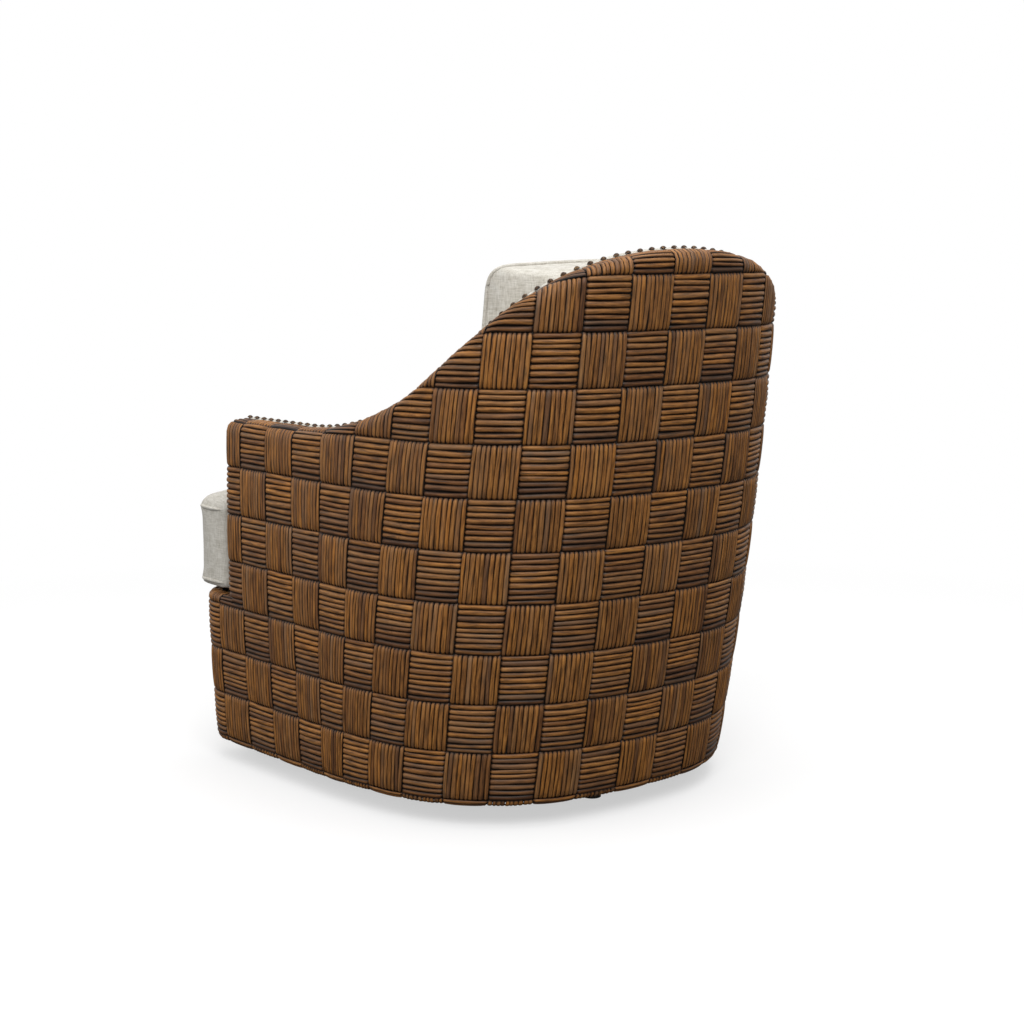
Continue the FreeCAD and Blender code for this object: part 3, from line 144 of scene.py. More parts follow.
def rim_height(distance):
    """Crown, shoulder, ramp and swoop of the rim down to the level arms."""
    crown, shoulder, swoop = 673.0, 464.0, 421.0
    soft, steep = math.radians(12.0), math.radians(39.7)
    crown_end, crown_drop = crown * math.sin(soft), crown * (1 - math.cos(soft))
    shoulder_end = crown_end + shoulder * (math.sin(steep) - math.sin(soft))
    shoulder_drop = crown_drop + shoulder * (math.cos(soft) - math.cos(steep))
    ramp_drop = BACK_HEIGHT - ARM_HEIGHT - shoulder_drop - swoop * (1 - math.cos(steep))
    ramp_end = shoulder_end + ramp_drop / math.tan(steep)
    swoop_end = ramp_end + swoop * math.sin(steep)
    way = np.abs(distance)
    crown_z = BACK_HEIGHT - crown + np.sqrt(np.maximum(0, crown ** 2 - way ** 2))
    across = way - crown_end + shoulder * math.sin(soft)
    centre = BACK_HEIGHT - crown_drop - shoulder * math.cos(soft)
    shoulder_z = centre + np.sqrt(np.maximum(0, shoulder ** 2 - across ** 2))
    ramp_z = BACK_HEIGHT - shoulder_drop - (way - shoulder_end) * math.tan(steep)
    before_end = np.clip(swoop_end - way, 0, swoop)
    swoop_z = ARM_HEIGHT + swoop - np.sqrt(np.maximum(0, swoop ** 2 - before_end ** 2))
    return np.where(way < crown_end, crown_z, np.where(way < shoulder_end, shoulder_z,
                    np.where(way < ramp_end, ramp_z, np.where(way < swoop_end, swoop_z, ARM_HEIGHT))))


# Small tools for meshes and materials


def colour(code):
    """An sRGB hex value as the linear colour that a shader takes."""
    values = [int(code[k:k + 2], 16) / 255 for k in (0, 2, 4)]
    return [v / 12.92 if v <= 0.04045 else ((v + 0.055) / 1.055) ** 2.4 for v in values] + [1.0]


def node(material, kind, settings=None, links=None):
    """Add one node, set its own settings or its sockets, and link its inputs."""
    made = material.node_tree.nodes.new(kind)
    for name, value in (settings or {}).items():
        if isinstance(name, str) and hasattr(made, name):
            setattr(made, name, value)
        else:
            made.inputs[name].default_value = value
    for name, socket in (links or {}).items():
        material.node_tree.links.new(socket, made.inputs[name])
    return made


def ramp(material, source, stops):
    """A colour ramp read from a value; stops are (place, hex)."""
    made = node(material, "ShaderNodeValToRGB", links={"Fac": source})
    elements = made.color_ramp.elements
    while len(elements) < len(stops):
        elements.new(0.5)
    for element, (place, code) in zip(elements, stops):
        element.position = place
        element.color = colour(code)
    return made.outputs["Color"]


def new_material(name, roughness, **sockets):
    """A named material with its one Principled shader."""
    material = bpy.data.materials.new(name)
    material.use_nodes = True
    shader = material.node_tree.nodes["Principled BSDF"]
    shader.inputs["Roughness"].default_value = roughness
    for name_of, value in sockets.items():
        shader.inputs[name_of.replace("_", " ")].default_value = value
    return material, shader


def link(material, source, shader, socket):
    material.node_tree.links.new(source, shader.inputs[socket])


def new_mesh_object(name, points, faces, material):
    """A mesh object at the origin from points in metres."""
    mesh = bpy.data.meshes.new(name)
    mesh.from_pydata([tuple(p) for p in points], [], [tuple(f) for f in faces])
    mesh.update()
    made = bpy.data.objects.new(name, mesh)
    bpy.context.collection.objects.link(made)
    made.data.materials.append(material)
    return made


def ring_faces(rings, count):
    """Faces that join level rings of points one after another, with both ends closed."""
    faces = []
    for i in range(rings - 1):
        for j in range(count):
            k = (j + 1) % count
            faces.append((i * count + j, i * count + k, (i + 1) * count + k, (i + 1) * count + j))
    faces.append(tuple(range(count))[::-1])
    faces.append(tuple((rings - 1) * count + j for j in range(count)))
    return faces


def pick(piece):
    """Select one piece alone and make it active."""
    bpy.ops.object.select_all(action="DESELECT")
    piece.select_set(True)
    bpy.context.view_layer.objects.active = piece


def read_points(piece):
    """The piece's vertices as rows of x, y and z."""
    flat = np.empty(len(piece.data.vertices) * 3)
    piece.data.vertices.foreach_get("co", flat)
    return flat.reshape(-1, 3)


def write_points(piece, points):
    piece.data.vertices.foreach_set("co", points.ravel())
    piece.data.update()


def smooth(piece, degrees=40):
    pick(piece)
    bpy.ops.object.shade_smooth_by_angle(angle=math.radians(degrees))


def apply_modifiers(piece):
    pick(piece)
    for modifier in list(piece.modifiers):
        bpy.ops.object.modifier_apply(modifier=modifier.name)


def face_out(piece):
    """Merge doubles and turn every face outwards."""
    mesh = bmesh.new()
    mesh.from_mesh(piece.data)
    bmesh.ops.remove_doubles(mesh, verts=mesh.verts, dist=0.00002)
    bmesh.ops.recalc_face_normals(mesh, faces=mesh.faces)
    mesh.to_mesh(piece.data)
    mesh.free()


# Materials


def bark_strand():
    """Peeled bark strand, stained and waxed: satin brown with copper and grey-brown streaks along it,
    multiplied by painted shade from the green channel of its vertex colour.
    """
    material, shader = new_material("stained_bark_strand", 0.5, Specular_IOR_Level=0.28)
    uv = node(material, "ShaderNodeUVMap", {"uv_map": "strand"}).outputs["UV"]
    tone_and_painted_shade = node(material, "ShaderNodeAttribute", {"attribute_name": "tone_and_painted_shade"})
    split = node(material, "ShaderNodeSeparateColor", links={"Color": tone_and_painted_shade.outputs["Color"]})
    streak_map = node(material, "ShaderNodeMapping", {"Scale": (34.0, 330.0, 1.0)}, {"Vector": uv})
    streak = node(material, "ShaderNodeTexNoise", {"Scale": 1.0, "Detail": 4.0, "Roughness": 0.6},
                  {"Vector": streak_map.outputs["Vector"]})
    patch_map = node(material, "ShaderNodeMapping", {"Scale": (22.0, 90.0, 1.0)}, {"Vector": uv})
    patch = node(material, "ShaderNodeTexNoise", {"Scale": 1.0, "Detail": 3.0},
                 {"Vector": patch_map.outputs["Vector"]})
    # The red channel is the random strand colour, lowered on the lower strands of lying blocks as painted
    # shade.
    body = ramp(material, split.outputs["Red"], [(0.0, "4E3220"), (0.22, "68482D"), (0.42, "875F38"),
                                                 (0.62, "9E723F"), (0.82, "AA773C"), (1.0, "BA8848")])
    grain = ramp(material, streak.outputs["Fac"], [(0.33, "3A3029"), (0.44, "A38C74"), (0.56, "E6D2B4"),
                                                   (0.68, "FFF4DE")])
    mixed = node(material, "ShaderNodeMix", {"data_type": "RGBA", "blend_type": "MULTIPLY", 0: 0.78},
                 {6: body, 7: grain})
    bleached = ramp(material, patch.outputs["Fac"], [(0.42, "856950"), (0.60, "736657"), (0.75, "93846C")])
    veil = node(material, "ShaderNodeMath", {"operation": "MULTIPLY", 1: 0.55},
                {0: split.outputs["Blue"]})
    greyed = node(material, "ShaderNodeMix", {"data_type": "RGBA", "blend_type": "MIX"},
                  {0: veil.outputs["Value"], 6: mixed.outputs[2], 7: bleached})
    # Painted shade: the green channel darkens the strands at their sides towards the gaps, where they dive
    # under, and on their lower sides.
    painted_shade_ramp = ramp(material, split.outputs["Green"], [(0.0, "0F0C0B"), (0.30, "2B2623"), (0.60, "A39A8E"),
                                                   (0.86, "FFFFFF")])
    shaded = node(material, "ShaderNodeMix", {"data_type": "RGBA", "blend_type": "MULTIPLY", 0: 1.0},
                  {6: greyed.outputs[2], 7: painted_shade_ramp})
    link(material, shaded.outputs[2], shader, "Base Color")
    rough = node(material, "ShaderNodeMapRange", {"To Min": 0.38, "To Max": 0.62},
                 {"Value": streak.outputs["Fac"]})
    link(material, rough.outputs["Result"], shader, "Roughness")
    bump = node(material, "ShaderNodeBump", {"Strength": 0.35, "Distance": 0.0006},
                {"Height": streak.outputs["Fac"]})
    link(material, bump.outputs["Normal"], shader, "Normal")
    return material


def dark_ground():
    """Backing seen between the strands: nearly black brown, dull; its near-black is painted shade for the
    shadowed gaps.
    """
    material, shader = new_material("backing_painted_gap_shade", 0.85)
    place = node(material, "ShaderNodeTexCoord").outputs["Object"]
    weave = node(material, "ShaderNodeTexNoise", {"Scale": 400.0, "Detail": 2.0}, {"Vector": place})
    # Painted shade: near-black colours for the shadowed gaps between strands.
    link(material, ramp(material, weave.outputs["Fac"], [(0.3, "0D0A08"), (0.7, "1C1511")]),
         shader, "Base Color")
    return material


def linen_cloth(name, base="BDB9B0", light="CDCAC2", dark="A09B90"):
    """Slubby linen: warm off-white yarns of uneven thickness in a plain weave, matte with a faint sheen."""
    material, shader = new_material(name, 0.92, Specular_IOR_Level=0.2, Sheen_Weight=0.18,
                                    Sheen_Roughness=0.5)
    place = node(material, "ShaderNodeTexCoord").outputs["Object"]
    yarns = []
    for scale in ((640.0, 640.0, 60.0), (70.0, 70.0, 760.0)):
        mapping = node(material, "ShaderNodeMapping", {"Scale": scale}, {"Vector": place})
        yarns.append(node(material, "ShaderNodeTexNoise", {"Scale": 1.0, "Detail": 3.0, "Roughness": 0.65},
                          {"Vector": mapping.outputs["Vector"]}).outputs["Fac"])
    both = node(material, "ShaderNodeMath", {"operation": "ADD"}, {0: yarns[0], 1: yarns[1]})
    half = node(material, "ShaderNodeMath", {"operation": "MULTIPLY", 1: 0.5}, {0: both.outputs["Value"]})
    mottle = node(material, "ShaderNodeTexNoise", {"Scale": 90.0, "Detail": 4.0}, {"Vector": place})
    tint = ramp(material, half.outputs["Value"], [(0.34, dark), (0.46, base), (0.57, light),
                                                  (0.70, "D2CFC8")])
    cloud = ramp(material, mottle.outputs["Fac"], [(0.3, "D8D4CC"), (0.7, "FFFFFF")])
    mixed = node(material, "ShaderNodeMix", {"data_type": "RGBA", "blend_type": "MULTIPLY", 0: 0.5},
                 {6: tint, 7: cloud})
    link(material, mixed.outputs[2], shader, "Base Color")
    bump = node(material, "ShaderNodeBump", {"Strength": 0.55, "Distance": 0.0009},
                {"Height": half.outputs["Value"]})
    link(material, bump.outputs["Normal"], shader, "Normal")
    return material


def aged_bronze():
    """Hammered nail in antiqued bronze: dark, with the brass rubbed through on the crown."""
    material, shader = new_material("antiqued_bronze", 0.42, Metallic=0.85)
    place = node(material, "ShaderNodeTexCoord").outputs["Object"]
    patch = node(material, "ShaderNodeTexNoise", {"Scale": 260.0, "Detail": 3.0}, {"Vector": place})
    rubbed = ramp(material, patch.outputs["Fac"], [(0.35, "2A1F18"), (0.55, "4A382B"), (0.72, "77603F")])
    link(material, rubbed, shader, "Base Color")
    rough = node(material, "ShaderNodeMapRange", {"To Min": 0.3, "To Max": 0.6},
                 {"Value": patch.outputs["Fac"]})
    link(material, rough.outputs["Result"], shader, "Roughness")
    return material


def powder_coat():
    """Black powder coat over steel: satin with a fine orange peel."""
    material, shader = new_material("black_powder_coat", 0.5)
    place = node(material, "ShaderNodeTexCoord").outputs["Object"]
    peel = node(material, "ShaderNodeTexNoise", {"Scale": 900.0, "Detail": 2.0}, {"Vector": place})
    link(material, ramp(material, peel.outputs["Fac"], [(0.3, "161616"), (0.7, "242424")]),
         shader, "Base Color")
    bump = node(material, "ShaderNodeBump", {"Strength": 0.2, "Distance": 0.0002},
                {"Height": peel.outputs["Fac"]})
    link(material, bump.outputs["Normal"], shader, "Normal")
    return material


def plated_steel(name, light, dark, roughness):
    """Bright zinc or oiled spring steel: metal with a drawn or rolled streak and dull spots."""
    material, shader = new_material(name, roughness, Metallic=1.0)
    place = node(material, "ShaderNodeTexCoord").outputs["Object"]
    spots = node(material, "ShaderNodeTexNoise", {"Scale": 150.0, "Detail": 4.0}, {"Vector": place})
    link(material, ramp(material, spots.outputs["Fac"], [(0.3, dark), (0.7, light)]), shader, "Base Color")
    rough = node(material, "ShaderNodeMapRange", {"To Min": roughness - 0.08, "To Max": roughness + 0.15},
                 {"Value": spots.outputs["Fac"]})
    link(material, rough.outputs["Result"], shader, "Roughness")
    return material


def sawn_timber(name, light, dark):
    """Kiln-dried frame timber, sawn: pale with darker growth lines."""
    material, shader = new_material(name, 0.75)
    place = node(material, "ShaderNodeTexCoord").outputs["Object"]
    mapping = node(material, "ShaderNodeMapping", {"Scale": (6.0, 30.0, 60.0)}, {"Vector": place})
    lines = node(material, "ShaderNodeTexNoise", {"Scale": 2.0, "Detail": 5.0, "Distortion": 0.4},
                 {"Vector": mapping.outputs["Vector"]})
    growth = ramp(material, lines.outputs["Fac"], [(0.3, dark), (0.5, light), (0.62, dark), (0.75, light)])
    link(material, growth, shader, "Base Color")
    bump = node(material, "ShaderNodeBump", {"Strength": 0.3, "Distance": 0.0004},
                {"Height": lines.outputs["Fac"]})
    link(material, bump.outputs["Normal"], shader, "Normal")
    return material


def moulded_plastic(name, tint, low, roughness):
    """Moulded nylon or polythene: even colour with a faint mould texture."""
    material, shader = new_material(name, roughness)
    place = node(material, "ShaderNodeTexCoord").outputs["Object"]
    grain = node(material, "ShaderNodeTexNoise", {"Scale": 700.0, "Detail": 2.0}, {"Vector": place})
    link(material, ramp(material, grain.outputs["Fac"], [(0.3, low), (0.7, tint)]), shader, "Base Color")
    bump = node(material, "ShaderNodeBump", {"Strength": 0.15, "Distance": 0.0002},
                {"Height": grain.outputs["Fac"]})
    link(material, bump.outputs["Normal"], shader, "Normal")
    return material


def spunbond_cloth():
    """Black spunbonded dust cloth: thin, matte and slightly fibrous."""
    material, shader = new_material("black_dust_cloth", 0.9)
    place = node(material, "ShaderNodeTexCoord").outputs["Object"]
    fibre = node(material, "ShaderNodeTexNoise", {"Scale": 500.0, "Detail": 6.0}, {"Vector": place})
    link(material, ramp(material, fibre.outputs["Fac"], [(0.35, "101010"), (0.65, "232221")]),
         shader, "Base Color")
    bump = node(material, "ShaderNodeBump", {"Strength": 0.4, "Distance": 0.0004},
                {"Height": fibre.outputs["Fac"]})
    link(material, bump.outputs["Normal"], shader, "Normal")
    return material


BARK = bark_strand()
GROUND = dark_ground()
LINEN = linen_cloth("slub_linen")
BRONZE = aged_bronze()
COAT = powder_coat()
ZINC = plated_steel("zinc_plated_steel", "B9B9B4", "8F908C", 0.35)
SPRING = plated_steel("oiled_spring_steel", "6E6E70", "4A4A4C", 0.38)
CHROME = plated_steel("ground_ball_steel", "D2D2D2", "BDBDBD", 0.16)
TIMBER = sawn_timber("sawn_frame_timber", "C9A877", "A98656")
PLY = sawn_timber("backing_plywood", "BC9A6C", "9E7C50")
NYLON = moulded_plastic("moulded_nylon", "E2DFD6", "D2CEC2", 0.45)
GLIDE = moulded_plastic("black_glide_plastic", "1E1E1E", "141414", 0.5)
DUST_CLOTH = spunbond_cloth()

SLOT_MATERIALS = {"black_steel": COAT, "zinc_steel": ZINC, "spring_steel": SPRING, "ball_chrome": CHROME,
                  "bush_nylon": NYLON, "glide_plastic": GLIDE, "frame_hardwood": TIMBER,
                  "backing_plywood": PLY, "bronze_nail": BRONZE, "black_cambric": DUST_CLOTH,
                  "linen": LINEN, "woven_bark": BARK}


def finish_nodes():
    """Give every node of the frame the finish of its slot."""
    for row in frame["record"]["subparts"]:
        piece = frame["nodes"][row["node"]]
        piece.data.materials.clear()
        piece.data.materials.append(SLOT_MATERIALS[row["material_slot"]])


# Woven shell


BLOCK_WIDE, BLOCK_TALL, ROW_START = 74.0, 80.0, 46.0
STRANDS_LYING, STRANDS_UPRIGHT = 9, 10
SKIN_DEPTH = 3.2
ALONG, ACROSS = 11, 5
RIM_ROLL, RIM_WIDTH, BASE_ROLL, BASE_WIDTH = 20.0, 37.0, 12.0, 25.5
ARM_FRONT_BOTTOM, ARM_FRONT_WIDTH = BASE_HEIGHT + 2.6, 25.0


def row_edge(row):
    """Height of a row's lower edge on the unrolled wall; the middle rows sit a little low."""
    return ROW_START + BLOCK_TALL * row - 6.0 * math.sin(math.pi * min(1, max(0, row / 10)))


def column_edges():
    """Edges of the columns round the base; the front takes a slightly closer pitch so that it closes."""
    edges = [37.0 + BLOCK_WIDE * k for k in range(13)]
    front_pitch = (BASE_LENGTH - edges[-1]) / 6.5
    edges += [edges[-1] + front_pitch * k for k in range(1, 8)]
    return edges


COLUMN_EDGES = column_edges()


def column_range(index):
    """Low and high edge of a column; column 0 is centred on the back."""
    if index == 0:
        return -COLUMN_EDGES[0], COLUMN_EDGES[0]
    low, high = COLUMN_EDGES[abs(index) - 1], COLUMN_EDGES[abs(index)]
    return (low, high) if index > 0 else (-high, -low)


def strand_template():
    """A flat grid from -1 to 1 both ways: the places along and across one strand, and its faces."""
    bpy.ops.object.select_all(action="DESELECT")
    bpy.ops.mesh.primitive_grid_add(x_subdivisions=ALONG, y_subdivisions=ACROSS, size=2)
    made = bpy.context.object
    points = read_points(made)
    faces = np.array([list(face.vertices) for face in made.data.polygons])
    bpy.data.objects.remove(made)
    return points[:, :2], faces


def strand_blocks(columns, rows):
    """All strands of a patch on the unrolled wall: (distance, climb, lift), streak map, tones with painted
    shade, and faces.

    A block of lying strands and a block of upright strands take turns; a strand dives under at both ends.
    """
    grid, faces = strand_template()
    along, across = np.sin(grid[:, 0] * math.pi / 2), np.sin(grid[:, 1] * math.pi / 2)
    places, uvs, tones, all_faces = [], [], [], []
    count = 0
    for column in columns:
        low_s, high_s = column_range(column)
        for row in rows:
            random.seed(5 + 977 * column + 31 * row)
            low_v, high_v = row_edge(row), row_edge(row + 1)
            flat = (column + row) % 2 == 1
            strands = STRANDS_LYING if flat else STRANDS_UPRIGHT
            wide = (high_v - low_v) if flat else (high_s - low_s)
            long = (high_s - low_s) if flat else (high_v - low_v)
            mid_s, mid_v = (low_s + high_s) / 2, (low_v + high_v) / 2
            shares = np.array([random.uniform(0.8, 1.2) for _ in range(strands)])
            edges = np.concatenate([[0], np.cumsum(shares / shares.sum())]) * wide - wide / 2
            block_tone = random.uniform(-0.07, 0.07)
            for k in range(strands):
                centre, half = (edges[k] + edges[k + 1]) / 2, (edges[k + 1] - edges[k]) / 2
                tilt = random.uniform(-0.5, 0.5)
                wave, phase = random.uniform(0.1, 0.45), random.uniform(0, 6.3)
                reach = long / 2 + 2.6
                run = along * reach
                drift = tilt * along + wave * np.sin(along * 2.3 + phase)
                body = 0.97 + 0.05 * np.sin(along * 3.1 + phase * 2)
                side = centre + across * half * body + drift
                dive = np.clip((np.abs(run) - (long / 2 - 3.4)) / 6.0, 0, 1)
                pillow = 1 - (centre / (wide / 2)) ** 2
                swell = 1.9 * (1 - (np.abs(along)) ** 3) + 1.0 * pillow
                height = half * (0.75 if flat else 0.5)
                round_top = height * (np.sqrt(np.maximum(0, 1 - (across * 0.99) ** 2)) - 1)
                lift = swell + round_top - 4.2 * dive ** 1.4 + random.uniform(-0.25, 0.25)
                # Painted shade: lying blocks get darker towards their lower strands, and each lying strand
                # darker on its lower half, as if lit from above.
                low_side = max(0.0, -centre / (wide / 2)) if flat else 0.0
                under = np.clip(-across if flat else np.zeros_like(across), 0, 1)
                # Painted shade for the green channel: darker where a strand dives under its neighbour, at
                # its sides towards the gaps, on the lower half of lying strands and on the lower strands of
                # a lying block.
                dark = 1 - 0.8 * dive - 0.72 * np.abs(across) ** 4 - 0.3 * under - 0.3 * low_side ** 2
                dark = np.clip(dark, 0, 1)
                # Random strand colour, darkened on the lower strands of a lying block as painted shade.
                tone_and_painted_shade = min(1, max(0, random.gauss(0.6, 0.11) + block_tone - 0.2 * low_side))
                if random.random() < 0.08:
                    tone_and_painted_shade *= 0.55
                grey = max(0, random.gauss(0.1, 0.2))
                s = mid_s + (run if flat else side)
                v = mid_v + (side if flat else run)
                places.append(np.stack([s, v, lift], axis=-1))
                offset = random.uniform(0, 40)
                uvs.append(np.stack([(run + offset * 90) * MM, (across * half + offset * 37) * MM], axis=-1))
                grey_of = np.full_like(run, min(1, grey))
                tones.append(np.stack([np.full_like(run, tone_and_painted_shade), dark, grey_of], axis=-1))
                all_faces.append((faces if flat else faces[:, ::-1]) + count)
                count += len(grid)
    return [np.concatenate(items) for items in (places, uvs, tones, all_faces)]


def wrapped(table, s, climb, lift, rise_of, roll, hem, bottom):
    """Wrap the unrolled weave on the wall: folded under the hem, up, over the rim and inwards."""
    rise = rise_of(s) - roll
    low = bottom + hem
    quarter, hem_quarter = math.pi / 2 * roll, math.pi / 2 * hem
    over = np.clip(climb - rise, 0, quarter) / roll
    beyond = np.maximum(0, climb - rise - quarter)
    under = np.clip(low - climb, 0, hem_quarter) / hem
    below = np.maximum(0, low - climb - hem_quarter)
    height = lift - SKIN_DEPTH
    z = np.clip(climb, low, rise)
    inset = np.zeros_like(z)
    z = z + roll * np.sin(over) - hem * np.sin(under)
    inset = inset + roll * (1 - np.cos(over)) + hem * (1 - np.cos(under)) + beyond + below
    z = z + height * np.sin(over) - height * np.sin(under)
    inset = inset - height * np.cos(over) * np.cos(under)
    return wall_points(table, s, z, inset) * MM


def weave_piece(name, node_name, table, columns, s_range, bottom, rise_of, roll, width,
                hem=13.0, fold=26.0):
    """One patch of the woven skin: strands, cut to its outline, over a near-black ground that paints the
    shade in the gaps.

    It rolls over the rim with radius roll to a width, and with radius hem under the bottom for a fold.
    """
    highest = float(np.max(rise_of(np.linspace(s_range[0], s_range[1], 3))))
    top_row = int(math.ceil((highest + 60 - ROW_START) / BLOCK_TALL))
    low_row = int(math.floor((bottom - 40 - ROW_START) / BLOCK_TALL))
    places, uvs, tones, faces = strand_blocks(columns, range(low_row, top_row))
    s, climb, lift = places[:, 0], places[:, 1], places[:, 2]
    top_edge = rise_of(s) - roll + math.pi / 2 * roll + (width - roll)
    low_edge = bottom + hem - math.pi / 2 * hem - (fold - hem) if hem else np.full_like(s, bottom)
    inside = (s > s_range[0] - 0.01) & (s < s_range[1] + 0.01) & (climb < top_edge) & (climb > low_edge)
    kept = faces[inside[faces].sum(axis=1) >= 2]
    s = np.clip(s, s_range[0], s_range[1])
    climb = np.clip(climb, low_edge, top_edge)
    used = np.unique(kept)
    renumber = np.full(len(s), -1)
    renumber[used] = np.arange(len(used))
    kept = renumber[kept]
    hem_radius = hem if hem else 1.0
    floor_v = bottom if hem else bottom - 1.0
    points = wrapped(table, s[used], climb[used], lift[used], rise_of, roll, hem_radius, floor_v)
    piece = new_mesh_object(name, points, kept, BARK)
    loops = np.empty(len(piece.data.loops), dtype=np.int32)
    piece.data.loops.foreach_get("vertex_index", loops)
    layer = piece.data.uv_layers.new(name="strand")
    layer.data.foreach_set("uv", uvs[used][loops].astype(np.float32).ravel())
    # Vertex colour: random strand colour, painted shade and grey, one channel each.
    tone_and_painted_shade = piece.data.attributes.new("tone_and_painted_shade", "FLOAT_COLOR", "POINT")
    rgba = np.concatenate([tones[used], np.ones((len(used), 1))], axis=1)
    tone_and_painted_shade.data.foreach_set("color", rgba.astype(np.float32).ravel())
    pick(piece)
    bpy.ops.object.shade_smooth()
    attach(piece, "chair")
    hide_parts(node_name)
    ground_sheet(name + "_ground", table, s_range, bottom, rise_of, roll, width, hem, fold)


def ground_sheet(name, table, s_range, bottom, rise_of, roll, width, hem, fold):
    """The near-black backing right behind the strands, closed as a thin sheet, as painted shade for the
    gaps.
    """
    count = max(4, int((s_range[1] - s_range[0]) / 12))
    s = np.linspace(s_range[0], s_range[1], count + 1)
    steps = 34
    rows = []
    for k in range(steps + 1):
        share = k / steps
        low_edge = bottom + hem - math.pi / 2 * hem - (fold - hem) if hem else bottom
        top_edge = rise_of(s) - roll + math.pi / 2 * roll + (width - roll) - 0.5
        rows.append(low_edge + (top_edge - low_edge) * share)
    climb = np.stack(rows)
    wide = np.broadcast_to(s, climb.shape)
    hem_radius = hem if hem else 1.0
    floor_v = bottom if hem else bottom - 1.0
    layers = []
    for depth in (-2.6, -4.6):
        lift = np.full(climb.size, depth)
        layers.append(wrapped(table, wide.ravel(), climb.ravel(), lift, rise_of, roll, hem_radius, floor_v))
    points = np.concatenate(layers)
    across, up = count + 1, steps + 1
    faces = []
    for layer in range(2):
        base = layer * across * up
        for i in range(up - 1):
            for j in range(across - 1):
                quad = (base + i * across + j, base + i * across + j + 1, base + (i + 1) * across + j + 1,
                        base + (i + 1) * across + j)
                faces.append(quad if layer == 0 else quad[::-1])
    rim = list(range(across)) + [i * across + across - 1 for i in range(1, up)]
    rim += [(up - 1) * across + j for j in range(across - 2, -1, -1)]
    rim += [i * across for i in range(up - 2, 0, -1)]
    far = across * up
    for a, b in zip(rim, rim[1:] + rim[:1]):
        faces.append((b, a, a + far, b + far))
    piece = new_mesh_object(name, points, faces, GROUND)
    face_out(piece)
    smooth(piece, 50)
    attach(piece, "chair")


def level(height):
    """A rim of one height all along."""
    return lambda s: np.full_like(np.asarray(s, dtype=float), height)


def woven_shell():
    shell = (SHELL_BOTTOM, rim_height, RIM_ROLL, RIM_WIDTH)
    weave_piece("woven_back", "weave_back", ARM_TABLE, range(-7, 8), (-CORNER_END, CORNER_END), *shell)
    weave_piece("woven_left", "weave_left", ARM_TABLE, range(5, 14), (CORNER_END, ARM_END), *shell)
    weave_piece("woven_right", "weave_right", ARM_TABLE, range(-13, -4), (-ARM_END, -CORNER_END), *shell)
    base = (SHELL_BOTTOM, level(BASE_HEIGHT), BASE_ROLL, BASE_WIDTH)
    front_columns = range(12, 20)
    weave_piece("woven_base_left", "weave_front", BASE_TABLE, front_columns, (ARM_END, BASE_LENGTH), *base)
    weave_piece("woven_base_right", "weave_front", BASE_TABLE, [-c for c in front_columns],
                (-BASE_LENGTH, -ARM_END), *base)
    arm = (ARM_FRONT_BOTTOM, rim_height, RIM_ROLL, ARM_FRONT_WIDTH)
    for side, label in ((1, "left"), (-1, "right")):
        span = (ARM_END, ARM_WRAP) if side > 0 else (-ARM_WRAP, -ARM_END)
        weave_piece("woven_arm_front_" + label, "weave_arm_front_" + label, ARM_TABLE,
                    [side * 12, side * 13, side * 14], span, *arm, hem=0.0, fold=0.0)


# Linen


def closed_sweep(name, table, stops, profile, material):
    """Sweep a closed profile of (depth, height) pairs round the wall and cap both ends."""
    rings = []
    for stop in stops:
        corners = np.array(profile(stop))
        s = np.full(len(corners), stop)
        rings.append(wall_points(table, s, corners[:, 1], corners[:, 0]) * MM)
    count = len(rings[0])
    points = np.concatenate(rings)
    piece = new_mesh_object(name, points, ring_faces(len(rings), count), material)
    face_out(piece)
    return piece


def lining_piece(name, node_name, start, end):
    """Padded inside of the shell: up to the nails, full in the middle, drawn in at its side seams."""
    def profile(stop):
        top = float(rim_height(np.array(stop)))
        low = BASE_HEIGHT + 2.8
        near_end = min(abs(stop - start), abs(stop - end))
        seam = 3.0 * math.exp(-(near_end / 7.0) ** 2)
        corners = [(38.6, top - 24), (38.8, top - 1.0), (42.0, top + 0.6), (48.0, top + 0.8 - seam * 0.3)]
        for k in range(7):
            turn = math.pi / 2 * k / 6
            corners.append((52 + (13.5 - seam) * math.sin(turn), top - 13 + 13.4 * math.cos(turn)))
        span = top - 13 - low
        for k in range(1, 22):
            share = k / 22
            swell = 1.6 * math.sin(math.pi * share) ** 0.7
            corners.append((65.5 - seam + swell, top - 13 - span * share))
        corners += [(65.5 - seam, low), (48.5, low), (48.5, top - 26), (44.0, top - 26)]
        return corners
    stops = np.linspace(start, end, max(8, int(abs(end - start) / 9)))
    stops = sorted(set(list(stops) + [start + 3, start + 8, end - 3, end - 8]))
    piece = closed_sweep(name, ARM_TABLE, stops, profile, LINEN)
    smooth(piece, 50)
    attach(piece, "chair")
    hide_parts(node_name)


def lining():
    lining_piece("inside_back", "lining_back", -CORNER_END, CORNER_END)
    lining_piece("inside_left_arm", "lining_left", CORNER_END, ARM_END - 0.3)
    lining_piece("inside_right_arm", "lining_right", -ARM_END + 0.3, -CORNER_END)


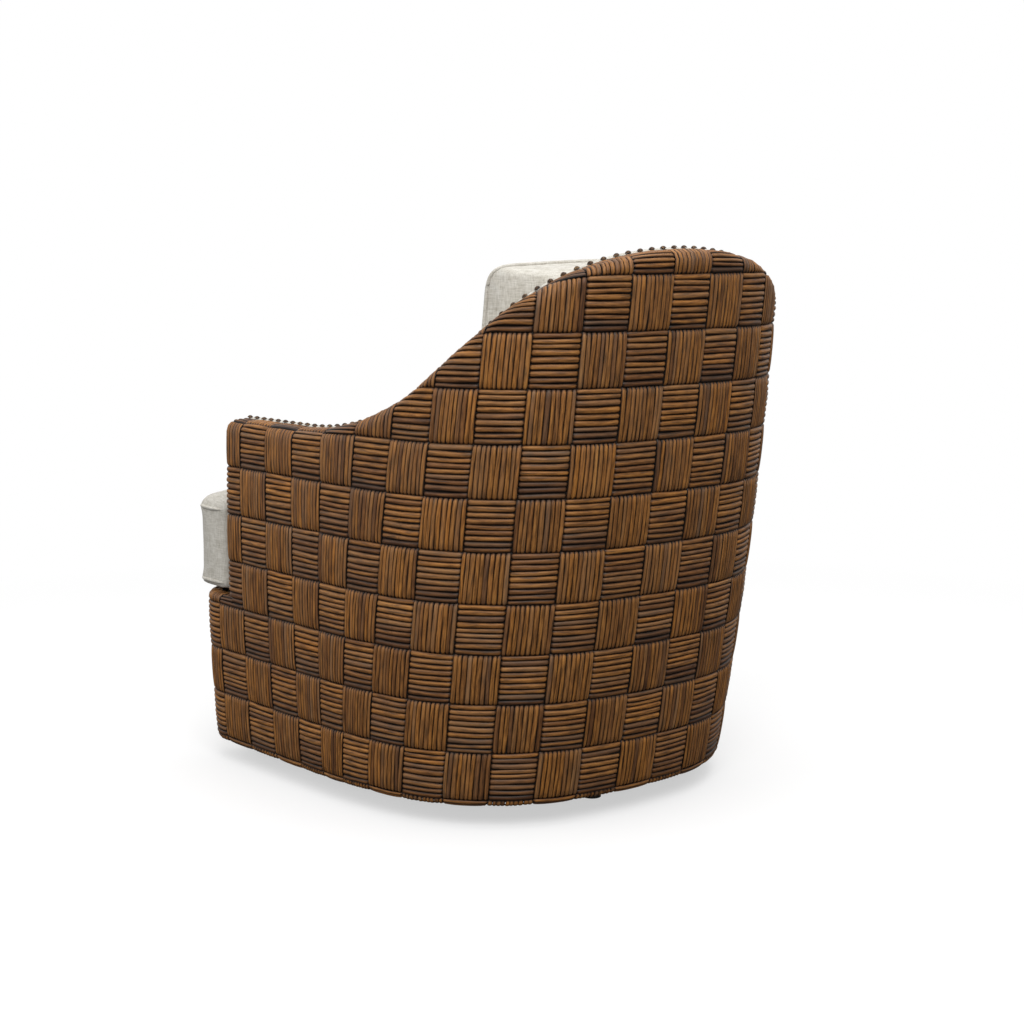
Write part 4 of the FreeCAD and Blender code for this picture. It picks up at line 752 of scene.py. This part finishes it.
def inflate(piece, pressure, cap, voxel=0.006):
    """Fill a cushion: an even mesh, then a cloth skin under pressure with its swelling capped."""
    pick(piece)
    remesh = piece.modifiers.new("remesh", "REMESH")
    remesh.mode = "VOXEL"
    remesh.voxel_size = voxel
    apply_modifiers(piece)
    before = read_points(piece)
    cloth = piece.modifiers.new("cloth", "CLOTH")
    cloth.settings.use_pressure = True
    cloth.settings.uniform_pressure_force = pressure
    cloth.settings.effector_weights.gravity = 0
    cloth.settings.quality = 4
    scene = bpy.context.scene
    for number in range(1, 21):
        scene.frame_set(number)
    apply_modifiers(piece)
    scene.frame_set(1)
    move = read_points(piece) - before
    far = np.linalg.norm(move, axis=1)
    scale = np.minimum(1, cap / np.maximum(far, 1e-9))
    write_points(piece, before + move * scale[:, None])


def outline_points(half, count):
    """Even points round a closed outline given by its right half as a chain of (x, y)."""
    loop = half + [(-x, y) for x, y in reversed(half[1:-1])]
    ring = np.array(loop + loop[:1])
    lengths = np.concatenate([[0], np.cumsum(np.linalg.norm(np.diff(ring, axis=0), axis=1))])
    marks = np.linspace(0, lengths[-1], count, endpoint=False)
    return np.stack([np.interp(marks, lengths, ring[:, k]) for k in (0, 1)], axis=-1)


def rounded(points, radius_of):
    """Round the corners of an open chain; radius_of gives each inner corner's radius."""
    chain = [points[0]]
    for k in range(1, len(points) - 1):
        a, b, c = (np.array(points[k + d]) for d in (-1, 0, 1))
        radius = radius_of[k - 1]
        into, out = (a - b) / np.linalg.norm(a - b), (c - b) / np.linalg.norm(c - b)
        cut = min(radius, 0.45 * np.linalg.norm(a - b), 0.45 * np.linalg.norm(c - b))
        for step in range(7):
            t = step / 6
            start, end = b + into * cut, b + out * cut
            chain.append(tuple((1 - t) ** 2 * start + 2 * t * (1 - t) * b + t ** 2 * end))
    chain.append(points[-1])
    return chain


CUSHION_GAP, SEAT_WELT_LOW, SEAT_WELT_HIGH = 2.2, 314.0, 441.0
SEAT_FRONT, EAR_BACK, EAR_SIDE = -427.2, -319.5, 386.5


def seat_half(inset):
    """Right half of the seat cushion's outline in millimetres, back to front, with its ear by the arm."""
    stations = 30
    level_of = np.full(stations, SEAT_WELT_LOW)
    wall = wall_points(ARM_TABLE, np.linspace(0, SIDE_END, stations), level_of,
                       np.full(stations, WALL + CUSHION_GAP + inset))
    chain = [(float(point[0]), float(point[1])) for point in wall]
    ahead = wall_points(ARM_TABLE, np.array([ARM_END]), np.array([SEAT_WELT_LOW]),
                        np.array([WALL + CUSHION_GAP + inset]))[0]
    front_y = SEAT_FRONT + inset
    arm_y = EAR_BACK - inset
    share = (chain[-1][1] - arm_y) / (chain[-1][1] - ahead[1])
    notch = (chain[-1][0] + (ahead[0] - chain[-1][0]) * share, arm_y)
    side = EAR_SIDE - inset
    tail = [chain[-1], notch, (side, arm_y), (side + 1.0, (arm_y + front_y) / 2), (side, front_y),
            (0, front_y)]
    return chain[:-1] + rounded(tail, [12 + inset, max(6, 24 - inset), 300, max(12, 60 - inset)])


def stacked(name, outlines, heights, material):
    """A closed form from level outlines of equal count."""
    count = len(outlines[0])
    points = np.concatenate([np.concatenate([ring, np.full((count, 1), z)], axis=1)
                             for ring, z in zip(outlines, heights)]) * MM
    piece = new_mesh_object(name, points, ring_faces(len(outlines), count), material)
    face_out(piece)
    return piece


def welt(name, ring, radius=0.0028):
    """A self-welt: a fabric-covered cord sewn round the edge, as a closed tube."""
    count = len(ring)
    sides = 8
    points, faces = [], []
    for k in range(count):
        here, ahead, behind = (Vector(ring[(k + d) % count]) for d in (0, 1, -1))
        along = (ahead - behind).normalized()
        out = along.cross(Vector((0, 0, 1)))
        out = out.normalized() if out.length > 0.2 else along.cross(Vector((0, 1, 0))).normalized()
        up = out.cross(along)
        for j in range(sides):
            turn = 2 * math.pi * j / sides
            points.append(here + out * radius * math.cos(turn) + up * radius * math.sin(turn))
    for k in range(count):
        m = (k + 1) % count
        for j in range(sides):
            n = (j + 1) % sides
            faces.append((k * sides + j, k * sides + n, m * sides + n, m * sides + j))
    piece = new_mesh_object(name, points, faces, LINEN)
    face_out(piece)
    smooth(piece, 80)
    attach(piece, "chair")
    return piece


def sit_on(piece, ring, lift=0.0012):
    """Move a seam's line onto the nearest surface of its cushion, a little proud of it."""
    mesh = bmesh.new()
    mesh.from_mesh(piece.data)
    tree = BVHTree.FromBMesh(mesh)
    seated = []
    for point in ring:
        place, normal, _, _ = tree.find_nearest(Vector(point))
        seated.append(place + normal * lift)
    mesh.free()
    count = len(seated)
    for _ in range(12):
        seated = [(seated[k - 1] + seated[k] * 2 + seated[(k + 1) % count]) / 4 for k in range(count)]
    return seated


def seat_cushion():
    count = 260
    levels = [(17, 302.5), (8, 304.5), (4.5, 309), (4, SEAT_WELT_LOW), (6.0, 330), (6.5, 378), (6.0, 425),
              (4, SEAT_WELT_HIGH), (6, 447), (12, 455), (20, 460.5), (29, 463)]
    outlines = [outline_points(seat_half(inset), count) for inset, _ in levels]
    heights = [z for _, z in levels]
    piece = stacked("seat_cushion_linen", outlines, heights, LINEN)
    inflate(piece, 4.0, 0.006)
    settle_seat(piece)
    finish_cushion(piece, "seat_cushion")
    for label, z in (("low", SEAT_WELT_LOW), ("high", SEAT_WELT_HIGH)):
        ring = [(x * MM, y * MM, z * MM) for x, y in outline_points(seat_half(2.0), 420)]
        welt("seat_welt_" + label, sit_on(piece, ring))


SEAT_REST, SEAT_CROWN = 0.3012, 0.4795


def settle_seat(piece):
    """Crown the seat, ripple its top a little and keep it flat where it rests."""
    points = read_points(piece)
    x, y, z = points[:, 0], points[:, 1], points[:, 2]
    across = np.clip(1 - (x / 0.33) ** 2, 0, 1)
    deep = np.clip(1 - ((y + 0.075) / 0.36) ** 2, 0, 1)
    top = np.clip((z - 0.45) / 0.012, 0, 1)
    z = z + top * 0.010 * np.sqrt(across * deep)
    ripple = 0.0009 * np.sin(x * 61 + 2) * np.sin(y * 47 + 1) + 0.0005 * np.sin(x * 131) * np.sin(y * 117)
    z = z + top * ripple
    points[:, 2] = np.clip(z, SEAT_REST, SEAT_CROWN)
    write_points(piece, points)


def finish_cushion(piece, node_name):
    modifier = piece.modifiers.new("subdivide", "SUBSURF")
    modifier.levels = modifier.render_levels = 1
    apply_modifiers(piece)
    pick(piece)
    bpy.ops.object.shade_smooth()
    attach(piece, "chair")
    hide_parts(node_name)


BACK_LEAN = math.radians(10.5)
BACK_MIDDLE_Y, BACK_MIDDLE_Z, BACK_LOWEST = 267.0, 662.0, 471.0
FRONT_WELT, REAR_WELT = (1.0, 1.0, -42), (0.70, 0.97, 40)


def back_place(x, depth, up):
    """From the back cushion's own axes to the chair's."""
    y = BACK_MIDDLE_Y + depth * math.cos(BACK_LEAN) + up * math.sin(BACK_LEAN)
    z = BACK_MIDDLE_Z - depth * math.sin(BACK_LEAN) + up * math.cos(BACK_LEAN)
    across = np.asarray(x, dtype=float)
    return np.stack([across, np.broadcast_to(y, across.shape), np.broadcast_to(z, across.shape)], axis=-1)


def pillow_half(wide_share, tall_share):
    """Right half of the back cushion's outline at one depth, from the top middle down."""
    half, tall = 240 * wide_share, 194 * tall_share
    swell = 10 * wide_share
    chain = [(0, tall + swell), (half * 0.5, tall + swell * 0.8), (half + 16, tall),
             (half + swell * 1.1, tall * 0.3), (half + swell * 0.7, -tall * 0.3), (half - 4, -tall),
             (0, -tall)]
    corner_share = min(wide_share, tall_share)
    return rounded(chain, [200, 34 * corner_share, 200, 200, 40 * corner_share])


def back_cushion():
    """Loose box cushion: crowned front, drawn-in boxing between its two welts, rear tucked in the shell."""
    count = 220
    levels = [(0.68, 0.66, -84), (0.86, 0.84, -78), (0.955, 0.945, -66), (0.995, 0.99, -52), FRONT_WELT,
              (0.975, 0.985, -30), (0.91, 0.975, 0), (0.78, 0.97, 28), REAR_WELT, (0.64, 0.93, 48),
              (0.5, 0.8, 60), (0.34, 0.62, 66)]
    rings = []
    for wide, tall, depth in levels:
        flat = outline_points(pillow_half(wide, tall), count)
        rings.append(back_place(flat[:, 0], depth, flat[:, 1]))
    points = np.concatenate(rings)
    limit_to_lining(points)
    piece = new_mesh_object("back_cushion_linen", points * MM, ring_faces(len(rings), count), LINEN)
    face_out(piece)
    inflate(piece, 4.0, 0.007)
    filled = read_points(piece) / MM
    limit_to_lining(filled)
    filled[:, 2] = np.maximum(filled[:, 2], BACK_LOWEST)
    write_points(piece, filled * MM)
    finish_cushion(piece, "back_cushion")
    for label, (wide, tall, depth) in (("front", FRONT_WELT), ("rear", REAR_WELT)):
        flat = outline_points(pillow_half(wide, tall), 380)
        ring = back_place(flat[:, 0] * 1.004, depth, flat[:, 1] * 1.004)
        limit_to_lining(ring, 3.2)
        welt("back_welt_" + label, sit_on(piece, [tuple(p * MM) for p in ring]))


def limit_to_lining(points, spare=0.0):
    """Pull points in behind the lining's face, towards the middle of the shell at their own height."""
    stops = np.linspace(-SIDE_END, SIDE_END, 241)
    centre = np.array([0.0, 40.0])
    for start in range(0, len(points), 4000):
        block = points[start:start + 4000]
        heights = np.repeat(np.clip(block[:, 2], 300, BACK_HEIGHT), len(stops))
        depth = np.full(len(block) * len(stops), WALL + 1.4 + spare)
        wall = wall_points(ARM_TABLE, np.tile(stops, len(block)), heights, depth)
        wall = wall.reshape(len(block), -1, 3)[:, :, :2] - centre
        angle, radius = np.arctan2(wall[:, :, 0], wall[:, :, 1]), np.hypot(wall[:, :, 0], wall[:, :, 1])
        own = block[:, :2] - centre
        own_angle, own_radius = np.arctan2(own[:, 0], own[:, 1]), np.hypot(own[:, 0], own[:, 1])
        for row in range(len(block)):
            limit = np.interp(own_angle[row], angle[row], radius[row])
            if own_radius[row] > limit:
                block[row, :2] = centre + own[row] * limit / own_radius[row]


# Coil springs and cloths under the seat


COIL_X, COIL_Y = 0.085, 0.120
COVER_HOLE = 235.0


def coil_springs():
    """Four rocker springs, in two pairs between the turntable and the chair."""
    for way, label in ((-1, "front"), (1, "rear")):
        points, faces = [], []
        for side in (1, -1):
            centre = Vector((COIL_X * side, COIL_Y * way, 0))
            low, high, turns, radius, wire = 0.0518, 0.1442, 5, 0.021, 0.0025
            steps, sides = turns * 28, 10
            start = len(points)
            for k in range(steps + 1):
                turn = 2 * math.pi * turns * k / steps
                rise = low + (high - low) * k / steps
                out = Vector((math.cos(turn), math.sin(turn), 0))
                for j in range(sides):
                    angle = 2 * math.pi * j / sides
                    points.append(centre + out * (radius + wire * math.cos(angle))
                                  + Vector((0, 0, rise + wire * math.sin(angle))))
            for k in range(steps):
                for j in range(sides):
                    n = (j + 1) % sides
                    a = start + k * sides
                    faces.append((a + j, a + n, a + sides + n, a + sides + j))
            faces.append(tuple(start + j for j in range(sides))[::-1])
            faces.append(tuple(start + steps * sides + j for j in range(sides)))
        piece = new_mesh_object("rocker_coils_" + label, points, faces, SPRING)
        face_out(piece)
        smooth(piece, 50)
        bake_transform(piece)
        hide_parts("rocker_springs_" + label)


def under_cloth():
    """Dust cover: spunbonded cloth stapled under the frame, sagging a little between its edges."""
    count, rings = 240, 16
    stops = np.linspace(-BASE_LENGTH, BASE_LENGTH, count, endpoint=False)
    outer = wall_points(BASE_TABLE, stops, np.full(count, 47.0), np.full(count, 19.5))
    points = []
    for k in range(rings + 1):
        share = k / rings
        for p in outer:
            length = math.hypot(p[0], p[1])
            inner = np.array([p[0], p[1]]) / length * COVER_HOLE
            place = np.array([p[0], p[1]]) * (1 - share) + inner * share
            angle = math.atan2(p[1], p[0])
            sag = 1.3 * math.sin(math.pi * share) * (1 + 0.5 * math.sin(angle * 9))
            points.append((place[0] * MM, place[1] * MM, (47.4 - sag) * MM))
    faces = []
    for i in range(rings):
        for j in range(count):
            k = (j + 1) % count
            faces.append((i * count + j, i * count + k, (i + 1) * count + k, (i + 1) * count + j))
    piece = new_mesh_object("dust_cloth", points, faces, DUST_CLOTH)
    thick = piece.modifiers.new("thickness", "SOLIDIFY")
    thick.thickness = 0.0008
    apply_modifiers(piece)
    face_out(piece)
    smooth(piece, 40)
    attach(piece, "chair")
    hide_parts("dust_cover")


# Stage


def floor_and_light():
    """A paper floor that fades to white, a white world and three soft lamps."""
    bpy.ops.object.select_all(action="DESELECT")
    bpy.ops.mesh.primitive_plane_add(size=30, location=(0, 0, -0.0005))
    floor = bpy.context.object
    floor.name = "studio_floor"
    material, shader = new_material("pale_paper_floor", 0.9, Specular_IOR_Level=0.0)
    path = node(material, "ShaderNodeLightPath")
    place = node(material, "ShaderNodeTexCoord").outputs["Object"]
    fade = node(material, "ShaderNodeVectorMath", {"operation": "LENGTH"}, {0: place})
    near = node(material, "ShaderNodeMapRange", {"From Min": 0.9, "From Max": 2.2},
                {"Value": fade.outputs["Value"]})
    white = node(material, "ShaderNodeEmission", {"Strength": 1.0, "Color": colour("FFFFFF")})
    lifted = node(material, "ShaderNodeMath", {"operation": "MAXIMUM", 1: 0.55}, {0: near.outputs["Result"]})
    seen = node(material, "ShaderNodeMath", {"operation": "MULTIPLY"},
                {0: lifted.outputs["Value"], 1: path.outputs["Is Camera Ray"]})
    ground = node(material, "ShaderNodeMix", {"data_type": "RGBA", 6: colour("5C5C5C"), 7: colour("FAFAFA")},
                  {0: path.outputs["Is Camera Ray"]})
    link(material, ground.outputs[2], shader, "Base Color")
    mix = node(material, "ShaderNodeMixShader", links={0: seen.outputs["Value"], 1: shader.outputs["BSDF"],
                                                       2: white.outputs["Emission"]})
    link(material, mix.outputs["Shader"], material.node_tree.nodes["Material Output"], "Surface")
    floor.data.materials.append(material)
    world = bpy.data.worlds.new("studio")
    bpy.context.scene.world = world
    world.use_nodes = True
    background = world.node_tree.nodes["Background"]
    background.inputs["Color"].default_value = colour("FFFFFF")
    background.inputs["Strength"].default_value = 0.62
    bright = node(world, "ShaderNodeBackground", {"Color": colour("FFFFFF"), "Strength": 1.0})
    path = node(world, "ShaderNodeLightPath")
    most = node(world, "ShaderNodeMath", {"operation": "MAXIMUM"},
                {0: path.outputs["Is Camera Ray"], 1: path.outputs["Is Glossy Ray"]})
    mix = node(world, "ShaderNodeMixShader",
               links={"Fac": most.outputs["Value"], 1: background.outputs["Background"],
                      2: bright.outputs["Background"]})
    link(world, mix.outputs["Shader"], world.node_tree.nodes["World Output"], "Surface")
    lamps = [("key", (1.6, 2.6, 3.0), 2.0, 84.0), ("fill", (3.0, -0.6, 1.9), 2.4, 28.0),
             ("top", (-0.4, 0.2, 3.2), 2.6, 42.0)]
    for name, place, size, power in lamps:
        lamp = bpy.data.lights.new(name, "AREA")
        lamp.size = size
        lamp.energy = power
        made = bpy.data.objects.new(name, lamp)
        bpy.context.collection.objects.link(made)
        made.location = place
        aim = Vector((0, 0, 0.45)) - Vector(place)
        made.rotation_euler = aim.to_track_quat("-Z", "Y").to_euler()


def camera():
    """The photograph's view: lens, place and aim as fitted to it."""
    data = bpy.data.cameras.new("camera")
    data.sensor_width = 36
    data.lens = 64.66
    made = bpy.data.objects.new("camera", data)
    bpy.context.collection.objects.link(made)
    made.location = (1.849, 2.422, 0.903)
    aim = Vector((0.0238, 0.017, 0.447)) - made.location
    made.rotation_euler = aim.to_track_quat("-Z", "Y").to_euler()
    bpy.context.scene.camera = made


finish_nodes()
woven_shell()
lining()
seat_cushion()
back_cushion()
coil_springs()
under_cloth()
floor_and_light()
camera()
bpy.context.scene.view_settings.view_transform = "Standard"
